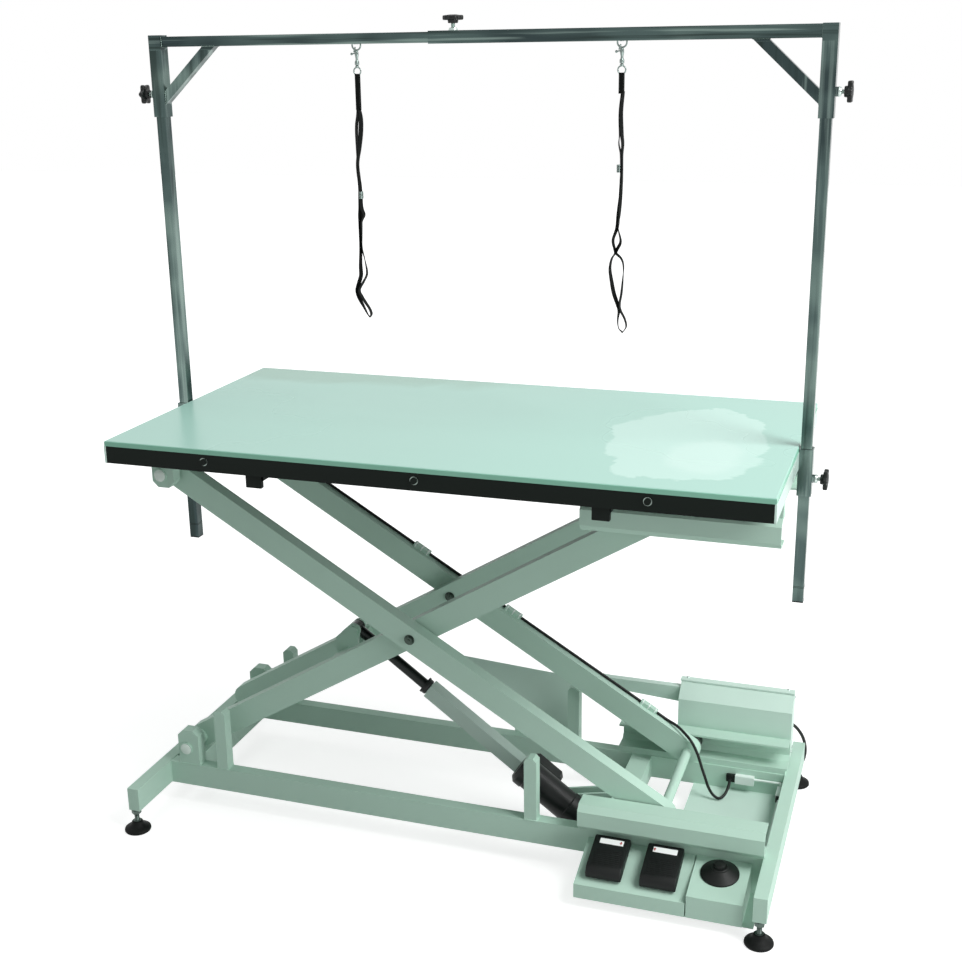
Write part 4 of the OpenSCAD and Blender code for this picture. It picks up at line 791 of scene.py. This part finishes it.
for side in (-1, 1):
    for x in (-415, 0, 415):
        seat = (x, side * half_wide, 828)
        turned(edge_bolts, [(0, 0), (7.6, 0), (7.8, 0.3), (7.6, 0.9), (0, 0.9)], seat, (0, side, 0), 32)
        turned(edge_bolts, [(0, 1.4), (5.4, 1.4), (5.4, 2.0), (4.9, 3.0), (3.9, 3.7), (2.6, 4.0), (2.4, 3.9),
                            (2.4, 2.4), (0, 2.4)], seat, (0, side, 0), 32)
piece_of("edge_bolts", edge_bolts, chrome_bolt, "table")

# Table ends. Each end of the tray is closed by a pale aluminium strip, bent over its
# corners, which shows as a light line beside the black band.
end_strip = finish_of("end_strip", "BFD6CD", (0.26, 0.4), (6, 0.15), (900, 0.04), (0.3, "9FB5AB"), metal=0.2)
strips = bmesh.new()
half_long = 625
strip_low, strip_face = 809.4, half_long + 1.2
for side in (-1, 1):
    slab(strips, (side * (half_long - 0.1), -half_wide - 0.6, strip_low),
         (side * strip_face, half_wide + 0.6, 842.4), 0.35, 1)
    for y in (-1, 1):
        slab(strips, (side * strip_face, y * (half_wide - 0.1), strip_low),
             (side * 622.4, y * (half_wide + 0.8), 842.2), 0.3, 1)
piece_of("table_end_strips", strips, end_strip, "table")

# Gantry. Square steel tube, polished and chromed, its tone uneven. Light and dark bands
# along its length are painted reflections, and its drawn streaks are partly painted
# reflections. The posts stand in welded sleeves, and the narrow beam slides in the wide one.
chrome_tube = finish_of("chrome_tube", "4B5C5A", (0.14, 0.26), (5, 0.5), (700, 0.02), (0.25, "2C3835"),
                        metal=0.9, worn_scale=30)
tree = chrome_tube.node_tree
along = own_axes(tree)
place_parts = add_node(tree, "ShaderNodeSeparateXYZ", {}, {0: along})
on_beam = ramp(tree, place_parts.outputs["Z"], 1.5515, 1.5525)
# The two vector inputs of a Mix node: streaks run along Z on the posts and along X on the beam
mix_posts, mix_beam = 4, 5
drawn = add_node(tree, "ShaderNodeMix", {"data_type": "VECTOR"}, {"Factor": on_beam})
drawn.inputs[mix_posts].default_value = (60.0, 60.0, 2.2)
drawn.inputs[mix_beam].default_value = (3.0, 60.0, 130.0)
streaked = add_node(tree, "ShaderNodeVectorMath", {"operation": "MULTIPLY"}, {0: along, 1: drawn.outputs[1]})
drawn_streaks_and_reflections = add_node(tree, "ShaderNodeTexNoise", {"Scale": 1.0, "Detail": 3.0, "Roughness": 0.5},
                   {"Vector": streaked.outputs["Vector"]}).outputs["Fac"]
reflection_band_axes = add_node(tree, "ShaderNodeVectorMath", {"operation": "MULTIPLY", 1: (1.6, 8.0, 3.4)}, {0: along})
reflection_bands = add_node(tree, "ShaderNodeTexNoise", {"Scale": 2.6, "Detail": 2.0, "Roughness": 0.45},
                 {"Vector": reflection_band_axes.outputs["Vector"]}).outputs["Fac"]
# Painted reflections: pale and dark bands, then drawn streaks that are partly painted reflections
colour_over(chrome_tube, "7C9189", ramp(tree, reflection_bands, 0.52, 0.64, 0.0, 0.5))
colour_over(chrome_tube, "2B3739", ramp(tree, reflection_bands, 0.47, 0.38, 0.0, 0.75))
colour_over(chrome_tube, "91A59E", ramp(tree, drawn_streaks_and_reflections, 0.54, 0.66, 0.0, 0.55))
colour_over(chrome_tube, "27322F", ramp(tree, drawn_streaks_and_reflections, 0.46, 0.34, 0.0, 0.7))
dress(chrome_tube, "post_clamps", "post_left", "post_right", "gantry_left", "gantry_right")
steel_weld = finish_of("weld_steel", "6C7C76", (0.3, 0.5), (60, 0.4), (500, 0.1), (0.3, "39443F"), metal=0.8)
beam_welds = {"gantry": bmesh.new(), "table": bmesh.new()}
post_x, sleeve_face, beam_z = 638, 625, 1567.75
brace_x, brace_drop, brace_cut = 537, 88, 27
for side, tube_half in ((-1, 9.5), (1, 11.25)):
    inner = side * sleeve_face
    low = beam_z - tube_half
    for y in (-tube_half, tube_half):
        weld(beam_welds["gantry"], (inner, y, low + 1), (inner, y, beam_z + tube_half - 1), 1.1)
    weld(beam_welds["gantry"], (inner, -tube_half, low), (inner, tube_half, low), 1.1)
    for a, b in (((brace_x, low), (brace_x - brace_cut, low)),
                 ((sleeve_face, low - brace_drop + 6), (sleeve_face, low - brace_drop - brace_cut + 8))):
        for y in (-9, 9):
            weld(beam_welds["gantry"], (side * a[0], y, a[1]), (side * b[0], y, b[1]), 1.1)
    for y in (-13, 13):
        weld(beam_welds["table"], (inner, y, 811), (inner, y, 841), 1.5)
piece_of("gantry_weld_beads", beam_welds["gantry"], steel_weld, "gantry")
piece_of("clamp_weld_beads", beam_welds["table"], steel_weld, "table")
for name, x in (("post_left", -post_x), ("post_right", post_x)):
    cap = bmesh.new()
    slab(cap, (x - 10.3, -10.3, 550), (x + 10.3, 10.3, 552.6), 0.8, 2)
    piece_of(name + "_cap", cap, bare_black, name)
    rings = bmesh.new()
    for z in (579, 581.4):
        slab(rings, (x - 10.15, -10.15, z), (x + 10.15, 10.15, z + 0.7), 0.1, 1)
    piece_of(name + "_marks", rings, tray_black, name)

# Star knobs. Moulded black heads with six lobes and a low dome, on threaded zinc studs;
# each is turned by hand to hold a post or the beam.
knob_black = finish_of("knob_black", "0D1110", (0.28, 0.42), (25, 0.3), (1000, 0.08), (0.3, "343C3A"),
                       shine=0.3)
lobes, lobe_swell = 6, 0.155
head_radius, head_deep, head_gap = 17.2, 8.4, 3.4
stud_pitch = 1.25


def star_knob(name, tip, axis, stud, seats, face):
    """A knob whose stud starts at tip, and the seat it screws through, face mm up the stud."""
    head = bmesh.new()
    bmesh.ops.create_cone(head, cap_ends=True, segments=72, radius1=head_radius, radius2=head_radius,
                          depth=head_deep)
    for v in head.verts:
        turn = math.atan2(v.co.y, v.co.x)
        swell = 1 + lobe_swell * math.cos(lobes * turn)
        v.co.x *= swell
        v.co.y *= swell
    rims = [e for e in head.edges if abs(e.verts[0].co.z - e.verts[1].co.z) < 1e-4]
    rounded(head, rims, 2.2, 3)
    moved(head, Matrix.Translation((0, 0, stud + head_deep / 2 + head_gap)))
    known = set(head.verts)
    for outline in ([(0, -2.0), (8.4, -2.0), (9.2, -1.0), (9.8, 3.6), (0, 3.6)],
                    [(0, 11.6), (11.6, 11.6), (10.6, 12.3), (6, 12.85), (0, 13)]):
        turned(head, [(r, stud + h) for r, h in outline], (0, 0, 0), steps=32)
    moved(head, Matrix.Scale(1 / mm, 4), new_verts(head, known))
    moved(head, to_metres @ Matrix.Translation(tip) @ facing(axis))
    piece_of(name + "_head", head, knob_black, name, (name,))
    stem = bmesh.new()
    thread = [(0, 0), (3.2, 0)]
    for k in range(int((stud - 2) / stud_pitch)):
        thread += [(3.95, 0.6 + stud_pitch * k), (3.35, 1.22 + stud_pitch * k)]
    thread += [(3.35, stud - 1.6), (0, stud - 1.6)]
    turned(stem, thread, tip, axis, 20)
    piece_of(name + "_stud", stem, zinc, name)
    turned(seats, [(4.2, face), (8.6, face), (8.6, face + 1.2), (6.8, face + 4.6), (4.2, face + 4.9)],
           tip, axis, 24)


knob_seats = {"gantry": bmesh.new(), "table": bmesh.new()}
knobs = [("knob_beam", (-28, 0, 1577.35), (0, 0, 1), 16, "gantry", 1.7)]
for kind, z, holder in (("corner", 1470, "gantry"), ("clamp", 791, "table")):
    for end, side in (("left", -1), ("right", 1)):
        knobs.append((f"knob_{kind}_{end}", (side * (post_x + 10.1), 0, z), (side, 0, 0), 19, holder, 7.9))
for name, tip, axis, stud, holder, face in knobs:
    star_knob(name, tip, axis, stud, knob_seats[holder], face)
for holder, seats in knob_seats.items():
    piece_of("knob_seats_" + holder, seats, zinc, holder)

# Snap hooks. Cast and nickelled: a round bow closed by a sprung bolt with a thumb lever,
# and a swivel eye below. Each hangs on a bar inside the beam.
nickel = finish_of("snap_nickel", "7C8985", (0.14, 0.3), (80, 0.3), (1500, 0.04), (0.3, "5D6965"), metal=1.0)


def round_of(radius, wire, count=12):
    turns = [2 * math.pi * k / count for k in range(count)]
    return [(radius + wire * math.cos(turn), wire * math.sin(turn)) for turn in turns]


bows = {"left": (-219, 1555.75), "right": (284, 1554.0)}
for side, (x, bow_z) in bows.items():
    hook = bmesh.new()
    turned(hook, round_of(8.4, 1.5), (x, 0, bow_z), (0, 1, 0), 40)
    turned(hook, [(0, -34.8), (3.9, -34.8), (4.2, -34.2), (4.2, -29.2), (3.4, -28), (2.5, -26.6), (2.4, -23),
                  (3.1, -20), (3.6, -16.8), (3.5, -13), (2.9, -10.6), (2.2, -8.9), (0, -8.6)],
           (x, 0, bow_z), steps=28)
    turned(hook, [(0, 0), (1.3, 0), (1.15, 7.6), (2.1, 9.2), (2.4, 11), (1.6, 12.2), (0, 12.4)],
           (x, 0, bow_z - 13.4), (-0.985, 0, -0.174), 16)
    turned(hook, [(0, 0), (1.5, 0), (1.5, 9.6), (0, 10)], (x - 5.4, 0, bow_z - 12.2), (0.32, 0, 0.95), 14)
    piece_of(f"snap_{side}_hook", hook, nickel, f"snap_{side}", (f"snap_{side}",))

# Nooses. Flat black nylon webbing, folded over a ring and stitched, then in two plies
# that part and meet, held by a ribbed metal slider, down to the small loop at the end.
webbing = finish_of("webbing", "090C0B", (0.6, 0.8), (60, 0.4), (500, 0.0), (0.25, "2A302E"), shine=0.1,
                    specks=0.2)
tree = webbing.node_tree
lay = add_node(tree, "ShaderNodeUVMap", {"uv_map": "UVMap"})
finer = add_node(tree, "ShaderNodeVectorMath", {"operation": "MULTIPLY", 1: (260.0, 180.0, 1.0)},
                 {0: lay.outputs["UV"]})
warp, weft = [add_node(tree, "ShaderNodeTexWave", {"Scale": 1.0, "bands_direction": way},
                       {"Vector": finer.outputs["Vector"]}) for way in ("Y", "X")]
crossing = maths(tree, "MULTIPLY", warp.outputs["Fac"], weft.outputs["Fac"])
weave_bump = add_node(tree, "ShaderNodeBump", {"Strength": 0.6, "Distance": 0.0004}, {"Height": crossing})
tree.links.new(weave_bump.outputs[0], tree.nodes["Principled BSDF"].inputs["Normal"])


def ribbon(bm, line, width, thick, twist):
    """A flat strap along a line of points in the X and Z plane; twist turns it about its length."""
    count = len(line)
    known = set(bm.verts)
    bmesh.ops.create_grid(bm, x_segments=count - 1, y_segments=3, size=1.0, calc_uvs=True)
    layer = bm.loops.layers.uv.verify()
    made = new_verts(bm, known)
    far = [0.0]
    for a, b in zip(line, line[1:]):
        far.append(far[-1] + (b - a).length)
    for v in made:
        k = round((v.co.x + 1) / 2 * (count - 1))
        across = v.co.y
        ahead = (line[min(k + 1, count - 1)] - line[max(k - 1, 0)]).normalized()
        aside = ahead.cross(Vector((0, 1, 0))).normalized()
        turn = twist(far[k] / far[-1])
        reach = Vector((0, 1, 0)) * math.cos(turn) + aside * math.sin(turn)
        for loop in v.link_loops:
            loop[layer].uv = (far[k] * mm, across * width / 2 * mm)
        v.co = line[k] + reach * across * width / 2
    faces = list({f for v in made for f in v.link_faces})
    bmesh.ops.recalc_face_normals(bm, faces=faces)
    bmesh.ops.solidify(bm, geom=faces, thickness=thick)
    moved(bm, to_metres, new_verts(bm, known))


gantry_top = 1580
strap_wide, strap_thick = 10.5, 1.7
ring_drop = 46
noose_plies = {
    "left": (
        [(-1, 136), (-2, 150), (-5, 170), (-6, 205), (-7, 241), (-5, 280), (-4, 318), (-5, 335), (-5, 352),
         (-6, 394), (-8, 430), (-8, 450), (-13, 466), (-17, 480), (-14, 494), (-5, 511), (3, 526), (8, 532)],
        [(1, 136), (4, 155), (3, 180), (-1, 210), (-6, 241), (-3, 280), (-2, 318), (3, 335), (-3, 352),
         (-4, 394), (1, 418), (5, 446), (-3, 463), (-13, 480), (-8, 492), (0, 504), (8, 516),
         (11, 526), (8, 532)]),
    "right": (
        [(0, 108), (-3, 143), (-3, 180), (-4, 198), (0, 217), (1, 243), (0, 280), (-3, 323), (-5, 346),
         (-12, 368), (-9, 384), (-8, 392), (-14, 402), (-17, 420), (-14, 441), (-9, 465), (-2, 485),
         (1, 497), (-1, 515), (1, 530), (8, 537)],
        [(3, 108), (-1, 143), (1, 180), (3, 198), (2, 217), (2, 243), (1, 280), (-1, 323), (-3, 346),
         (2, 370), (-4, 384), (-6, 392), (4, 402), (8, 416), (7, 441), (5, 465), (2, 485), (4, 497),
         (12, 512), (15, 526), (8, 537)]),
}
thread_grey = finish_of("thread", "2B3130", (0.5, 0.7), (200, 0.3), (500, 0.1), (0.1, "2B3130"))
for side, facing_low, slider_z in (("left", 1440, 1276), ("right", 1468, 1332)):
    x, bow_z = bows[side]
    node = f"noose_{side}"
    ring_z = bow_z - ring_drop
    strap = bmesh.new()
    for number, ply in enumerate(noose_plies[side]):
        line = smooth_route([(x + dx, 0, gantry_top - drop) for dx, drop in ply], 6)
        sway = 0.35 if number else -0.3
        ribbon(strap, line, strap_wide, strap_thick,
               lambda t, sway=sway: sway * math.sin(7 * t) + 0.25 * math.sin(17 * t + sway))
    top = ring_z - 6.4
    for front in (-1.5, 1.5):
        face_line = [Vector((x, front, top + (facing_low - top) * k / 6)) for k in range(7)]
        ribbon(strap, face_line, 10.0, 1.4, lambda t: math.pi / 2)
    fold = [Vector((x, 1.5 * math.cos(math.pi * k / 6), top + 1.6 * math.sin(math.pi * k / 6)))
            for k in range(7)]
    for a, b in zip(fold, fold[1:]):
        slab(strap, (x - 5, min(a.y, b.y) - 0.3, min(a.z, b.z) - 0.3),
             (x + 5, max(a.y, b.y) + 0.3, max(a.z, b.z) + 0.3), 0.15, 1)
    piece_of(node + "_strap", strap, webbing, node, (node,))
    stitches = bmesh.new()
    for row in (-3.6, 3.6):
        for k in range(16):
            z = top - 3 + (facing_low - top + 6) * k / 15.5
            slab(stitches, (x + row - 0.25, -2.45, z - 0.9), (x + row + 0.25, -2.1, z + 0.9), 0.08, 1)
    piece_of(node + "_stitches", stitches, thread_grey, node, smooth=False)
    metal = bmesh.new()
    turned(metal, round_of(7, 1.3), (x, 0, ring_z), (0, 1, 0), 36)
    turned(metal, [(0, 5.9), (3.2, 5.9), (3.5, 6.5), (3.4, 9.8), (2.6, 10.6), (1.6, 10.8), (1.55, 15.6),
                   (0, 15.8)], (x, 0, ring_z), steps=24)
    ribs = [(0, 0), (2.2, 0)]
    for k in range(5):
        ribs += [(3.3, 0.5 + 2.8 * k), (3.5, 1.4 + 2.8 * k), (3.3, 2.3 + 2.8 * k), (2.6, 2.8 + 2.8 * k)]
    ribs += [(0, 14)]
    made = turned(metal, ribs, (0, 0, 0), steps=28)
    place = Matrix.Translation(((x - 2) * mm, 0, slider_z * mm)) @ Matrix.Diagonal((1.35, 1.75, 1, 1))
    moved(metal, place, made)
    piece_of(node + "_metal", metal, nickel, node)


low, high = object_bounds()
